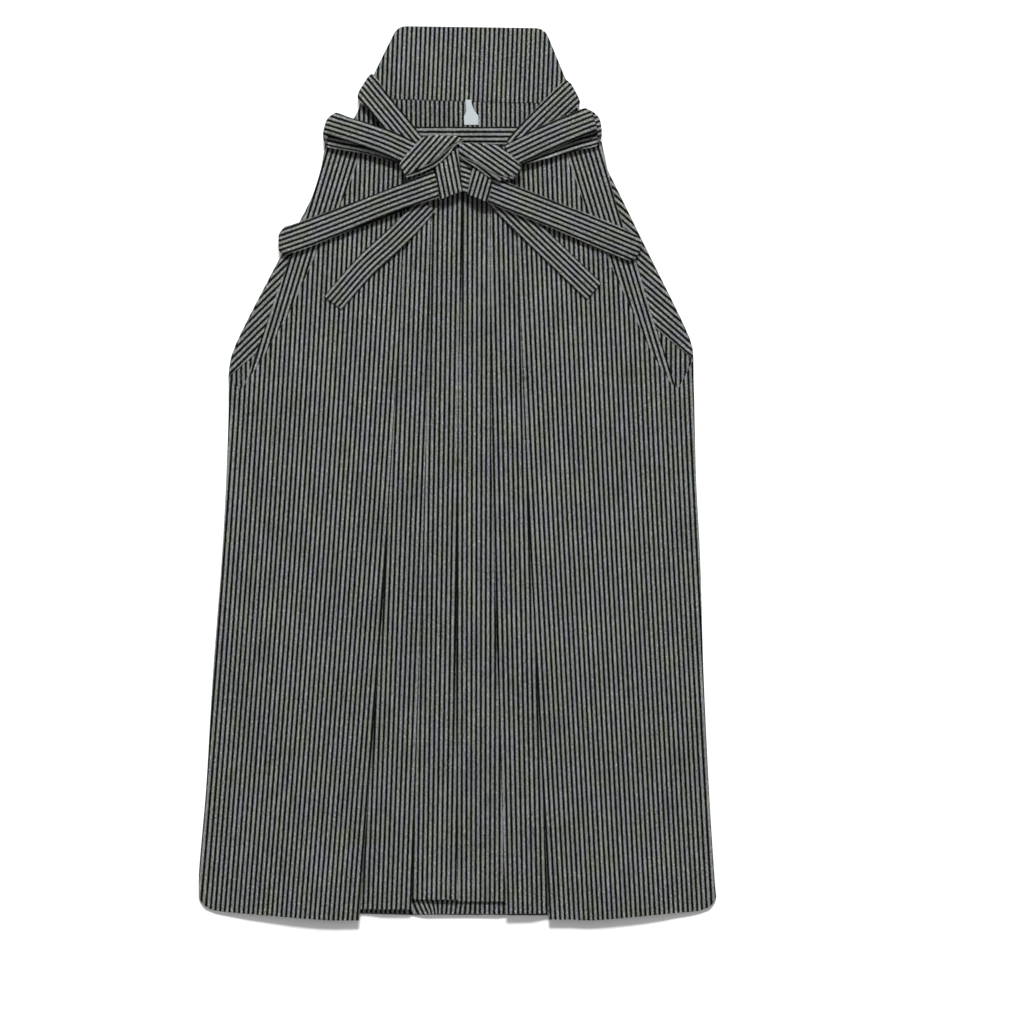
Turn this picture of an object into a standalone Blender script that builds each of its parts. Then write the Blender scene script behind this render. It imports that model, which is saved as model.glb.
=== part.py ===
"""A pair of pleated hakama trousers laid flat with the front up, their ties set in a bow.

+X is to the right, +Y towards the waist and +Z up. The back lies on the floor at Z = 0.
Every piece of cloth is a thin wall: a grid of points in its middle, thickened both ways.
"""

import math
from collections import namedtuple

import bmesh
import bpy
from mathutils import Vector

MM = 0.001

# Driving sizes, in metres.
CLOTH = 1.0 * MM  # wall of one layer of the trousers' cloth
TIE = 1.8 * MM  # wall of one layer of a tie, which is cloth folded and sewn
GAP = 0.35 * MM  # air between two layers
PITCH = CLOTH + GAP  # height from one layer to the next
WAIST = 392 * MM  # top edge of the front, under its band
BACK_TOP = 431 * MM  # top edge of the back, at the board
SLIT = 101 * MM  # bottom of the side slits
SWELL = 3.6 * MM  # how much the front stands off the back between its side seams
HEM_RISE = 2.2 * MM  # how much the turned-up hems lift the front
HEM_TURN = 26 * MM  # depth of the back's turned-up hem
BOARD = 4.2 * MM  # thickness of the back board
BOARD_EDGE = 1.1 * MM  # rounding of the board's edges
BAND = 2.0 * MM  # thickness of the front's waistband
PLEAT_SHARE = 0.45  # hidden depth of a pleat, as a share of the distance to the next
PANEL_FLAT = 1.5 * MM  # flat stretch of a narrow panel beside its fold
LAP_SHARE = 0.7  # how far the right leg reaches in under the left, as a share of the pleat
EDGE_DROP = 50 * MM  # length over which the front's side edge comes down to the seam
CORNER_RISE = 11 * MM  # how much higher the front starts at the seam than at the slit
SIDE_TUCK = 16 * MM  # how far the side folds reach in under the front
BACK_PLEAT = 24 * MM  # depth of the pleat down the middle of the back
BACK_RAMP = 28 * MM  # width over which the left leg's back rises onto the pleat
BACK_SHIFT = 5 * MM  # how far right of the front's middle the back's pleat lies
LABEL = 1.0 * MM  # thickness of the label

# Height steps of the layers, counted from the back.
ON_FLOOR = 0
LOW = 1
MIDDLE = 2
TOP = 3
FLAP_LAYER = LOW
SIDE_FOLD_LAYER = MIDDLE

# Lines down the garment: distance towards the waist, then distance to the right, in millimetres.
PLEATS = {
    "left_outer": [(392, -59), (201, -67), (62, -74), (-148, -86.5), (-357, -102), (-521, -114)],
    "left_inner": [(392, -30), (201, -32), (-8, -38), (-287, -46), (-521, -54)],
    "middle": [(392, 7.5), (201, 4), (62, 0.8), (-287, -1.5), (-521, 0.6)],
    "right_inner": [(392, 40), (201, 38), (-8, 40), (-287, 48.5), (-521, 56.5)],
    "right_outer": [(392, 63), (201, 72.5), (-8, 80.5), (-287, 95), (-521, 106)],
}
# The back's outline, from the board's corner to the hem.
BACK_EDGE = {
    "left": [(431, -112), (413, -119), (376, -142), (303, -177), (224, -219), (141, -260),
             (113, -266.5), (85, -266), (-8, -269), (-101, -274), (-241, -284.5), (-380, -292.5),
             (-485, -300.5), (-521, -301)],
    "right": [(431, 138), (405, 146), (350, 176), (266, 217), (183, 257.5), (155, 270), (141, 274),
              (99, 275), (-8, 277.6), (-101, 282.2), (-241, 286.2), (-380, 292.5), (-485, 298.5),
              (-521, 301)],
}
# The front's side folds, above the slits.
SIDE_FOLD_EDGE = {
    "left": [(392, -153), (350, -160), (286, -182), (225, -204), (172, -223), (101, -248.3)],
    "right": [(392, 166), (314, 184.5), (247, 208), (194, 222.7), (136, 242.5), (101, 253.5)],
}
FRONT_EDGE = {
    "left": [(392, -102), (371, -112.8), (326, -129.7), (263, -161), (191, -193.6), (129, -229.7),
             (101, -248.3)],
    "right": [(392, 119), (367, 128), (301, 152), (241, 178.5), (187, 204), (140, 226), (101, 250)],
}
# The hem: distance to the right, then distance towards the waist, in millimetres.
HEM = [(-301, -493.5), (-295, -502.5), (-289, -507), (-276, -510), (-226, -514), (-170, -518.5),
       (-142, -520), (-113, -517), (105, -517), (150, -520), (190, -517.5), (250, -512),
       (280, -509.5), (290, -506.5), (296, -502), (301, -493.5)]
BACK_HEM = [(-301, -493.5), (-295, -501.5), (-289, -506), (-276, -509), (-226, -512), (-113, -513),
            (-55, -514.5), (10, -514), (67, -515), (110, -515), (250, -511), (280, -508.5),
            (290, -505.5), (296, -501), (301, -493.5)]
# The back board's lower edge, then its upper corners, going round to the right, in millimetres.
BOARD_FOOT = [(-112, 433.5), (-78, 435), (12, 432.5), (95, 430.5), (137.5, 430.5)]
BOARD_TOP = [(101.5, 517.5), (-69.5, 520)]
BOARD_CORNER = 17 * MM
# Hems of the front's narrow panels, from left to right.
PANEL_HEM = {"left_outer": -507 * MM, "left_inner": -495.5 * MM, "right_inner": -498 * MM,
             "right_outer": -512 * MM}

# One row across a tie: its two edges from above, and the height of its middle, in millimetres.
Row = namedtuple("Row", "x1 y1 x2 y2 height")


def blend(a, b, share):
    return a + (b - a) * share


def ease(share):
    share = min(max(share, 0.0), 1.0)
    return share * share * (3 - 2 * share)


def read(line, where):
    """Read a smooth curve through a table's points, given in millimetres, at a place in metres."""
    at = where / MM
    points = line if line[0][0] < line[-1][0] else line[::-1]
    at = min(max(at, points[0][0]), points[-1][0])
    index = 0
    while index < len(points) - 2 and at > points[index + 1][0]:
        index += 1
    (u0, v0), (u1, v1) = points[index], points[index + 1]
    span = u1 - u0
    secant = (v1 - v0) / span
    before = after = secant
    if index > 0:
        ub, vb = points[index - 1]
        before = (v1 - vb) / (u1 - ub)
    if index < len(points) - 2:
        ua, va = points[index + 2]
        after = (va - v0) / (ua - u0)
    t = (at - u0) / span
    t2 = t * t
    t3 = t2 * t
    value = (2 * t3 - 3 * t2 + 1) * v0 + (t3 - 2 * t2 + t) * span * before
    value += (3 * t2 - 2 * t3) * v1 + (t3 - t2) * span * after
    return value * MM


def front_side(side, y):
    """Where the front's own side lies: its fold above the slit, the side seam below."""
    return read(SIDE_FOLD_EDGE[side], y) if y > SLIT else read(BACK_EDGE[side], y)


def loft(x, y):
    """How far the front stands off the back at a place, besides its layers."""
    side = "left" if x < 0 else "right"
    share = min(abs(x / front_side(side, y)), 1.0)
    body = SWELL * (1 - share ** 3) * (0.92 + 0.08 * math.cos(y / 0.11))
    hem = HEM_RISE * ease((-0.42 - y) / 0.07) * (1 - share ** 6)
    wave = 0.25 * hem * math.sin(x / 0.034 + 0.6)
    return body + hem + wave


def layer(step, x, y):
    """Height of the middle of a layer of the front."""
    return step * PITCH + CLOTH / 2 + loft(x, y)


def cloth(name, colour, roughness=0.9):
    found = bpy.data.materials.get(name)
    if found:
        return found
    made = bpy.data.materials.new(name)
    made.use_nodes = True
    shader = made.node_tree.nodes["Principled BSDF"]
    shader.inputs["Base Color"].default_value = (*colour, 1.0)
    shader.inputs["Roughness"].default_value = roughness
    shader.inputs["Metallic"].default_value = 0.0
    made.diffuse_color = (*colour, 1.0)
    return made


STRIPED = ("striped_cloth", (0.091, 0.098, 0.093))
WHITE = ("label_cloth", (0.80, 0.80, 0.79))


def place(name, bm, material):
    """Turn a closed bmesh into a named object with its own material."""
    bmesh.ops.recalc_face_normals(bm, faces=bm.faces)
    mesh = bpy.data.meshes.new(name)
    bm.to_mesh(mesh)
    bm.free()
    mesh.shade_smooth()
    mesh.set_sharp_from_angle(angle=math.radians(40))
    mesh.materials.append(cloth(*material))
    piece = bpy.data.objects.new(name, mesh)
    bpy.context.collection.objects.link(piece)
    return piece


def wall(name, grid, thickness, material=STRIPED):
    """Thicken a grid of middle points into one closed wall."""
    rows = len(grid)
    columns = len(grid[0])
    points = [[Vector(point) for point in row] for row in grid]
    normals = {}
    for i in range(rows - 1):
        for j in range(columns - 1):
            one = points[i + 1][j + 1] - points[i][j]
            other = points[i][j + 1] - points[i + 1][j]
            normals[i, j] = one.cross(other).normalized()
    bm = bmesh.new()
    skins = ([], [])
    for i in range(rows):
        for j in range(columns):
            around = [normals[key] for key in ((i - 1, j - 1), (i - 1, j), (i, j - 1), (i, j))
                      if key in normals]
            mean = sum(around, Vector()).normalized()
            reach = min(mean.dot(normal) for normal in around)
            shift = mean * (thickness / 2 / max(reach, 0.5))
            skins[0].append(bm.verts.new(points[i][j] + shift))
            skins[1].append(bm.verts.new(points[i][j] - shift))
    upper, lower = skins
    for i in range(rows - 1):
        for j in range(columns - 1):
            a = i * columns + j
            loop = (a, a + 1, a + columns + 1, a + columns)
            bm.faces.new([upper[k] for k in loop])
            bm.faces.new([lower[k] for k in reversed(loop)])
    rim = [j for j in range(columns)]
    rim += [i * columns + columns - 1 for i in range(1, rows)]
    rim += [(rows - 1) * columns + j for j in range(columns - 2, -1, -1)]
    rim += [i * columns for i in range(rows - 2, 0, -1)]
    for a, b in zip(rim, rim[1:] + rim[:1]):
        bm.faces.new((upper[b], upper[a], lower[a], lower[b]))
    return place(name, bm, material)


# One point of a section across the cloth: its place, its layer and the hem below it.
Point = namedtuple("Point", "x step hem")
# The front's pleats on each leg, from its side to the middle, and each pleat's neighbour.
LEGS = {"left": ("left_outer", "left_inner", "middle"), "right": ("right_outer", "right_inner")}
NEIGHBOUR = {"left_outer": "left_inner", "left_inner": "middle", "middle": "left_inner",
             "right_inner": "middle", "right_outer": "right_inner"}
# Where the points of the wide outer panel, and of the back, lie as shares of their widths.
OUTER_SHARES = (0, 0.03, 0.12, 0.35, 0.68, 1)
BACK_SHARES = (0, 0.06, 0.5, 1)


def turn(x, start, end, facing, hem=0.0):
    """Points of a fold from one layer to another, its edge at x and facing left or right."""
    radius = PITCH / 2
    middle = x - facing * (radius + CLOTH / 2)
    points = []
    for degrees in (-90, -30, 30, 90):
        angle = math.radians(degrees)
        step = (start + end) / 2 + (end - start) / 2 * math.sin(angle)
        points.append(Point(middle + facing * radius * math.cos(angle), step, hem))
    return points


def stations(top, bottom, count):
    return [blend(top, bottom, index / (count - 1)) for index in range(count)]


def pleat(name, y):
    """Where a pleat's edge lies and how deep it is folded."""
    edge = read(PLEATS[name], y)
    return edge, PLEAT_SHARE * abs(read(PLEATS[NEIGHBOUR[name]], y) - edge)


def outer_panel(side, outward, y):
    """The wide panel from the side to the first pleat."""
    on_slit = abs(y - SLIT) < MM / 2
    edge_line = BACK_EDGE[side] if y < SLIT or on_slit else FRONT_EDGE[side]
    edge = read(edge_line, y)
    fold, depth = pleat(LEGS[side][0], y)
    inner = fold + outward * (depth + 4 * MM)
    edge_step = blend(LOW, TOP, ease((y - SLIT) / EDGE_DROP + 0.9))
    points = []
    for share in OUTER_SHARES:
        x = blend(edge, inner, share)
        step = blend(edge_step, TOP, ease(share / OUTER_SHARES[-2]))
        points.append(Point(x, step, read(HEM, x)))
    return points


def section(side, y):
    """The front of one leg at a station, from its side edge to its hidden inner edge."""
    outward = -1 if side == "left" else 1
    inward = -outward
    points = outer_panel(side, outward, y)
    for index, name in enumerate(LEGS[side]):
        fold, depth = pleat(name, y)
        hem = points[-1].hem
        points += turn(fold, TOP, MIDDLE, inward, hem)
        hidden = fold + outward * depth
        if name == "middle":
            points.append(Point(hidden, MIDDLE, hem))
            break
        hem = PANEL_HEM[name]
        points += turn(hidden, MIDDLE, LOW, outward, hem)
        low = fold + inward * MM / 2
        points.append(Point(low, LOW, hem))
        if name == "right_inner":
            middle, lap = pleat("middle", y)
            points.append(Point(middle - LAP_SHARE * lap, LOW, hem))
        else:
            after, after_depth = pleat(LEGS[side][index + 1], y)
            high = after + outward * (after_depth + PANEL_FLAT)
            points.append(Point((low + high) / 2, MIDDLE, hem))
            points.append(Point(high, TOP, hem))
    return points


FRONT_STATIONS = [392, 350, 300, 240, 180, 130, 104, 101, 60, 0, -90, -190, -290, -380, -440,
                  -480, -521]


def front(side):
    """The pleated front of one leg. Below the slits its stations fan out to the hems."""
    grid = []
    lowest = FRONT_STATIONS[-1] * MM
    for station in FRONT_STATIONS:
        y = station * MM
        row = []
        for point in section(side, y):
            own_y = y if y > SLIT else blend(SLIT, point.hem, (SLIT - y) / (SLIT - lowest))
            row.append((point.x, own_y, layer(point.step, point.x, own_y)))
        if abs(y - SLIT) < MM / 2:
            x, own_y, height = row[0]
            row[0] = (x, own_y + CORNER_RISE, height)
        grid.append(row)
    wall(f"front_{side}", grid, CLOTH)


def side_fold(side):
    """The front's folded side above the slit, lying under the front's edge."""
    sign = -1 if side == "left" else 1
    grid = []
    for y in stations(386 * MM, 106 * MM, 8):
        outer = read(SIDE_FOLD_EDGE[side], y)
        inner = read(FRONT_EDGE[side], y) - sign * SIDE_TUCK
        row = []
        for share in (0, 0.5, 1):
            x = blend(outer, inner, share)
            row.append((x, y, layer(SIDE_FOLD_LAYER, x, y)))
        grid.append(row)
    wall(f"front_side_fold_{side}", grid, CLOTH)


# Each back flap: its top and its foot on the outline, and the ends of its hidden inner edge.
Flap = namedtuple("Flap", "top foot inner_top inner_foot")
FLAPS = {
    "left": Flap(413, 112, (-101, 402), (-200, 170)),
    "right": Flap(372, 132, (128, 372), (205, 191)),
}
FLAP_ROWS = 8
FLAP_LOFT = 0.3  # share of the front's height off the back that a flap takes up


def back_flap(side):
    """The back's side, folded in over its inner face above the slit."""
    shape = FLAPS[side]
    inner_top = Vector(shape.inner_top) * MM
    inner_foot = Vector(shape.inner_foot) * MM
    grid = []
    for index, station in enumerate(stations(shape.top, shape.foot, FLAP_ROWS)):
        y = station * MM
        outer = Vector((read(BACK_EDGE[side], y), y))
        inner = inner_top.lerp(inner_foot, index / (FLAP_ROWS - 1))
        row = []
        for share in (0, 0.5, 1):
            spot = outer.lerp(inner, share)
            height = FLAP_LAYER * PITCH + CLOTH / 2 + FLAP_LOFT * loft(spot.x, spot.y)
            row.append((spot.x, spot.y, height))
        grid.append(row)
    wall(f"back_flap_{side}", grid, CLOTH)


BACK_STATIONS = [431, 405, 376, 330, 280, 224, 180, 141, 120, 99, 40, -60, -160, -260, -360, -450,
                 -521]


def back_section(side, y):
    """Places and layers across the back of one leg, from its side to its hidden inner edge."""
    middle = read(PLEATS["middle"], min(y, WAIST)) + BACK_SHIFT
    edge = read(BACK_EDGE[side], y)
    inner = middle + BACK_PLEAT if side == "right" else middle - BACK_RAMP
    points = [Point(blend(edge, inner, share), ON_FLOOR, 0.0) for share in BACK_SHARES]
    if side == "right":
        points += turn(middle, ON_FLOOR, LOW, -1)
        points.append(Point(middle + BACK_PLEAT, LOW, 0.0))
    else:
        points.append(Point(middle - 4 * MM, MIDDLE, 0.0))
        points.append(Point(middle + BACK_PLEAT - 2 * MM, MIDDLE, 0.0))
    return points


def back(side):
    """The back of one leg, flat on the floor, with half of the pleat down its middle."""
    grid = []
    lowest = BACK_STATIONS[-1] * MM
    for station in BACK_STATIONS:
        y = station * MM
        share = (BACK_TOP - y) / (BACK_TOP - lowest)
        row = []
        for point in back_section(side, y):
            own_y = blend(read(BOARD_FOOT, point.x) - GAP, read(BACK_HEM, point.x), share)
            row.append((point.x, own_y, point.step * PITCH + CLOTH / 2))
        grid.append(row)
    wall(f"back_{side}", grid, CLOTH)


HEM_TURN_ENDS = (-116 * MM, 112 * MM)
HEM_TURN_COLUMNS = 17
HEM_SETBACK = 1.2 * MM  # how far the turn's fold lies inside the back's hem
TURN_RISE = 22 * MM  # width over which the turn climbs onto the back's pleat
TURN_CLEAR = 40 * MM  # how far past the pleat's depth the turn is still up


def over_back_pleat(x):
    """The layer that clears the back and the pleat down its middle."""
    distance = abs(x - BACK_SHIFT)
    return blend(LOW, TOP, ease((BACK_PLEAT + TURN_CLEAR - distance) / TURN_RISE))


def hem_turn():
    """The back's turned-up hem, where it shows between the front's narrow panels."""
    grid = []
    for depth in (HEM_TURN, 0.0):
        row = []
        for x in stations(*HEM_TURN_ENDS, HEM_TURN_COLUMNS):
            y = read(BACK_HEM, x) + HEM_SETBACK + depth
            row.append((x, y, over_back_pleat(x) * PITCH + CLOTH / 2))
        grid.append(row)
    wall("back_hem_turn", grid, CLOTH)


CORNER_STEPS = 4  # steps of each rounded corner of the board


def rounded_outline(corners, radii):
    """The outline's points, with arcs at the corners that are rounded."""
    outline = []
    for index, corner in enumerate(corners):
        here = Vector(corner) * MM
        radius = radii.get(index)
        if radius is None:
            outline.append(here)
            continue
        before = (Vector(corners[index - 1]) * MM - here).normalized()
        after = (Vector(corners[(index + 1) % len(corners)]) * MM - here).normalized()
        half = before.angle(after) / 2
        centre = here + (before + after).normalized() * (radius / math.sin(half))
        start = here + before * (radius / math.tan(half)) - centre
        end = here + after * (radius / math.tan(half)) - centre
        swing = start.angle_signed(end)
        for step in range(CORNER_STEPS + 1):
            angle = -swing * step / CORNER_STEPS
            turned = Vector((start.x * math.cos(angle) - start.y * math.sin(angle),
                             start.x * math.sin(angle) + start.y * math.cos(angle)))
            outline.append(centre + turned)
    return outline


def back_board():
    """The stiff board above the back, covered with the same cloth."""
    bm = bmesh.new()
    corners = BOARD_FOOT + BOARD_TOP
    radii = {len(BOARD_FOOT): BOARD_CORNER, len(BOARD_FOOT) + 1: BOARD_CORNER}
    outline = rounded_outline(corners, radii)
    face = bm.faces.new([bm.verts.new((spot.x, spot.y, 0)) for spot in outline])
    grown = bmesh.ops.extrude_face_region(bm, geom=[face])
    for item in grown["geom"]:
        if isinstance(item, bmesh.types.BMVert):
            item.co.z = BOARD
    flat = [edge for edge in bm.edges if abs(edge.verts[0].co.z - edge.verts[1].co.z) < 1e-6]
    bmesh.ops.bevel(bm, geom=flat, offset=BOARD_EDGE, segments=2, profile=0.5, affect="EDGES")
    place("back_board", bm, STRIPED)


BAND_TOP = 402 * MM
BAND_HEIGHT = 20 * MM
BAND_ENDS = (-101 * MM, 118 * MM)
BAND_COLUMNS = 13


def front_band():
    """The front's waistband, over the top of the pleats."""
    grid = []
    for y in stations(BAND_TOP, BAND_TOP - BAND_HEIGHT, 3):
        row = []
        for x in stations(*BAND_ENDS, BAND_COLUMNS):
            top = layer(TOP, x, y) + CLOTH / 2
            row.append((x, y, top + GAP + BAND / 2))
        grid.append(row)
    wall("front_band", grid, BAND)


# The ties as they lie in the bow. Each table runs along the tie.
TIES = {
    "back_tie_left": [
        Row(-85, 443, -100, 430, 6.0), Row(-96, 459, -113, 435, 6.0),
        Row(-100, 464.5, -118, 436, 7.1), Row(-95.5, 461, -115, 433, 8.3),
        Row(-83, 442.5, -104.5, 423, 9.8), Row(-64.5, 420, -87, 402, 11.4),
        Row(-46.5, 397.5, -68, 379.5, 12.0), Row(-41, 389, -60, 372, 12.2)],
    "back_tie_right": [
        Row(106, 437, 121, 423, 6.0), Row(121, 453, 138, 429, 6.0),
        Row(128, 457.5, 144, 428.5, 7.1), Row(122.5, 454, 140, 426, 8.3),
        Row(103, 435.5, 122, 410, 10.8), Row(74, 405.5, 93, 383, 12.0), Row(57, 386, 77, 366, 12.6)],
    "front_tie_loop_left": [
        Row(-60, 386, -66, 358, 14.7), Row(-100, 399, -104, 369.5, 12.7), Row(-136, 407, -143, 377, 8.0),
        Row(-147, 411, -155, 380, 7.4), Row(-150, 415, -157, 388, 10.4), Row(-143, 418, -153, 393, 14.2),
        Row(-123, 411.7, -135, 387.5, 16.6), Row(-77, 397, -93, 372, 17.5),
        Row(-46, 382, -62, 359, 17.5)],
    "front_tie_loop_right": [
        Row(72, 374, 76, 357, 15.2), Row(100, 388, 104, 365, 13.4), Row(136, 404, 140, 375, 9.4),
        Row(160, 413, 166, 382, 7.8), Row(164, 416, 168, 388, 11.2), Row(150, 423, 163, 397, 15.0),
        Row(134, 417.5, 147, 391, 17.0), Row(99, 403, 110, 375, 18.0),
        Row(55, 380, 66, 356, 18.0)],
    "front_tie_arm_left": [
        Row(-28, 348, -22, 322, 12.6), Row(-92, 324, -84, 296, 12.0), Row(-150, 302, -146, 273, 9.0),
        Row(-196, 285, -196, 256, 6.0), Row(-204, 283, -206, 255, 6.0), Row(-207, 282, -207.5, 254, 7.4),
        Row(-204, 285, -203, 253.5, 8.8), Row(-189, 289.5, -185, 258, 9.6),
        Row(-139, 307.5, -134, 277.5, 12.6), Row(-90, 325.5, -82, 299.5, 15.4),
        Row(-27.5, 351, -19, 320, 16.2)],
    "front_tie_arm_right": [
        Row(44, 334, 36, 316, 12.6), Row(118, 311, 108, 286, 12.0), Row(168, 290, 158, 262, 9.0),
        Row(208, 275, 196, 248, 6.0), Row(214, 273, 203, 245, 6.0), Row(216, 272, 205, 244.5, 7.4),
        Row(212, 274, 200, 246.5, 8.8), Row(184, 288, 171.5, 258, 10.2),
        Row(119, 313, 108.5, 284.5, 14.6), Row(80, 328.5, 70, 299.5, 15.7),
        Row(41, 343.5, 32, 315, 16.2)],
    "front_tie_tail_left": [
        Row(-155, 205.5, -134.5, 190, 8.9), Row(-117, 249.5, -97, 231.5, 9.7),
        Row(-84, 280, -63, 262.5, 10.2), Row(-44, 316, -25, 305.5, 10.3)],
    "front_tie_tail_right": [
        Row(167.5, 221, 149.5, 201.5, 8.9), Row(130, 257, 112, 237.5, 9.7),
        Row(92.5, 293, 74.5, 273.5, 10.2), Row(54, 331, 36, 311.5, 10.3)],
    "knot_wing_left": [
        Row(-67, 358, -59, 342, 19.6), Row(-56.5, 372, -42.5, 347.5, 20.4),
        Row(-46.5, 382, -27, 354.5, 21.2), Row(-41, 388.5, -17.5, 361.5, 21.3),
        Row(-32, 391, -9, 370, 21.4),
        Row(-16, 391, -3, 379, 20.2), Row(-0.6, 390.5, 7.5, 385.5, 18.4)],
    "knot_wing_right": [
        Row(2.5, 381.5, 1.5, 367.5, 19.8), Row(16, 382, 11, 360, 21.6), Row(30, 381.5, 20, 355, 22.4),
        Row(50, 379, 34, 344, 22.2), Row(63, 367, 48, 338.5, 21.6), Row(75, 355.5, 66, 341, 20.4)],
    "knot_middle_left": [
        Row(-15, 366, 1, 377, 16.7), Row(-25.2, 356.5, 2, 360, 18.1), Row(-23, 336, 4.5, 340, 19.0),
        Row(-20.8, 316.5, 6.2, 327, 18.2)],
    "knot_middle_right": [
        Row(17.5, 354, 40.5, 339.5, 18.8), Row(14.5, 338.5, 38.5, 325.5, 19.0),
        Row(12, 323.5, 34.8, 313.6, 18.2)],
    "knot_tuck": [
        Row(0, 375, 8, 371, 13.4), Row(2, 366, 16, 357, 14.6), Row(4, 350, 16, 342, 15.8),
        Row(5.5, 327, 13, 323, 15.9)],
}


def tie(name):
    """One tie, or one turn of the knot, along its table's rows."""
    grid = []
    for row in TIES[name]:
        ends = Vector((row.x1, row.y1, row.height)) * MM, Vector((row.x2, row.y2, row.height)) * MM
        grid.append([ends[0].lerp(ends[1], share) for share in (0, 0.5, 1)])
    wall(name, grid, TIE)


LABEL_ROWS = [Row(9.2, 437, 16, 437, 5.4), Row(9.7, 428, 17, 428, 5.3),
              Row(10, 421, 20.5, 421, 4.9), Row(7.9, 415, 24, 415, 4.6), Row(7.9, 405, 24.5, 405, 4.5)]


def label():
    """The bare sewn-in label below the board."""
    grid = []
    for row in LABEL_ROWS:
        grid.append([(row.x1 * MM, row.y1 * MM, row.height * MM),
                     (row.x2 * MM, row.y2 * MM, row.height * MM)])
    wall("label", grid, LABEL, WHITE)


def main():
    for item in list(bpy.data.objects):
        bpy.data.objects.remove(item)
    for side in ("left", "right"):
        back(side)
        back_flap(side)
        side_fold(side)
        front(side)
    hem_turn()
    back_board()
    front_band()
    for name in TIES:
        tie(name)
    label()


main()
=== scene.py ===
"""Pleated hakama trousers laid flat: striped cloth, dressed ties, covered board and plain label.

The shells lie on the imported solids. +X is to the right, +Y towards the waist and +Z up.
"""

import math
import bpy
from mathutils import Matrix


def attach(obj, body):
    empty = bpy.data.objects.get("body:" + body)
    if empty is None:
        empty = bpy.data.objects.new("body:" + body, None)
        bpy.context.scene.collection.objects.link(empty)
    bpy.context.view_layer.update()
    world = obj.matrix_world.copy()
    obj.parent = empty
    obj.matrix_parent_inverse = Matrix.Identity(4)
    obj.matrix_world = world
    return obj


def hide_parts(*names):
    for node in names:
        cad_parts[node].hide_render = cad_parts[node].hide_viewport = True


bl_info = {
    "name": "Laid Hakama Trousers",
    "version": (1, 0, 0),
    "blender": (4, 5, 0),
    "location": "3D View > Sidebar > Hakama",
    "description": "Adds pleated hakama trousers laid flat, with their ties dressed in a bow",
    "category": "Add Mesh",
}

from collections import namedtuple

import bpy
import numpy as np
from bpy.props import FloatProperty, FloatVectorProperty, PointerProperty
from mathutils import Vector

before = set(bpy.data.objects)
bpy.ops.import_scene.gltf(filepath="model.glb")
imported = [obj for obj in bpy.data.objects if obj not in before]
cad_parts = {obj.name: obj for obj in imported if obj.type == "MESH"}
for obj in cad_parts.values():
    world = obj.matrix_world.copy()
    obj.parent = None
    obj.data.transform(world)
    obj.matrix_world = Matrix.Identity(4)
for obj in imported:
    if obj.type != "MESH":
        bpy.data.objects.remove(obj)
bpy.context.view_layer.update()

MM = 0.001
GRAIN = "grain"
SHARP_EDGE = math.radians(50)

# Sizes shared with the solids, in metres.
CLOTH = 1.0 * MM
GAP = 0.35 * MM
PITCH = CLOTH + GAP
WAIST = 392 * MM
BACK_TOP = 431 * MM
SLIT = 101 * MM
HEM_LINE = -521 * MM
HEM_ROWS = -478 * MM  # where the closer rows of the hem begin
SWELL = 3.6 * MM
SWELL_CHANGE = 0.08  # share by which the swell comes and goes down the garment
SWELL_WAVE = 110 * MM
HEM_RISE = 2.2 * MM
HEM_RISE_START = -420 * MM
HEM_RISE_REACH = 70 * MM
HEM_WAVE = 34 * MM
WIDE_RIPPLE = 21 * MM
FINE_RIPPLE = 12.5 * MM
ROLL_START = 5 * MM  # how far from the side edge the roll rises, then how far it reaches
ROLL_REACH = 45 * MM
ROLL_FADE = 50 * MM
PLEAT_SHARE = 0.45
PANEL_FLAT = 1.5 * MM
PANEL_UNDER = 4 * MM  # how far the wide panel runs on past the depth of its pleat
LAP_SHARE = 0.7
EDGE_DROP = 50 * MM  # length over which the front's side edge climbs to the top layer
EDGE_LEAD = 0.9  # share of that length that lies below the slit
EDGE_SHARE = 0.68  # share of the wide panel's width over which it climbs from its side
SIDE_TUCK = 16 * MM
BACK_PLEAT = 24 * MM
BACK_RAMP = 28 * MM
BACK_SHIFT = 5 * MM
HEM_TURN = 26 * MM
HEM_TURN_ENDS = (-116 * MM, 112 * MM)
HEM_TURN_INSET = 1.2 * MM
HEM_TURN_SHIFT = 2.3 * MM  # how far its stripes are out with the back's
HEM_TURN_LEVEL = -500 * MM  # where they lean about
BAND_TOP = 402 * MM
BAND_HEIGHT = 20 * MM
BAND_ENDS = (-101 * MM, 118 * MM)
BAND_HALF = 1.0 * MM
BAND_CROWN = 0.35 * MM
BAND_SHIFT = 1.0 * MM  # places its stripes between its edges
FLAP_LOFT = 0.3
# Where the back's cloth meets the board: the height of its middle, where it starts to rise and over
# what length, and how far to each side it does so and over what width it sinks again.
BESIDE_BOARD = 3.3 * MM
BOARD_RISE = (408 * MM, 22 * MM)
BOARD_REACH = (132 * MM, 50 * MM)
BACK_LAP_REACH = (38 * MM, 22 * MM)  # how far the hem's turn clears the back pleat, and its slope

# Height steps of the layers, counted from the back.
ON_FLOOR = 0
LOW = 1
MIDDLE = 2
TOP = 3

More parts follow.
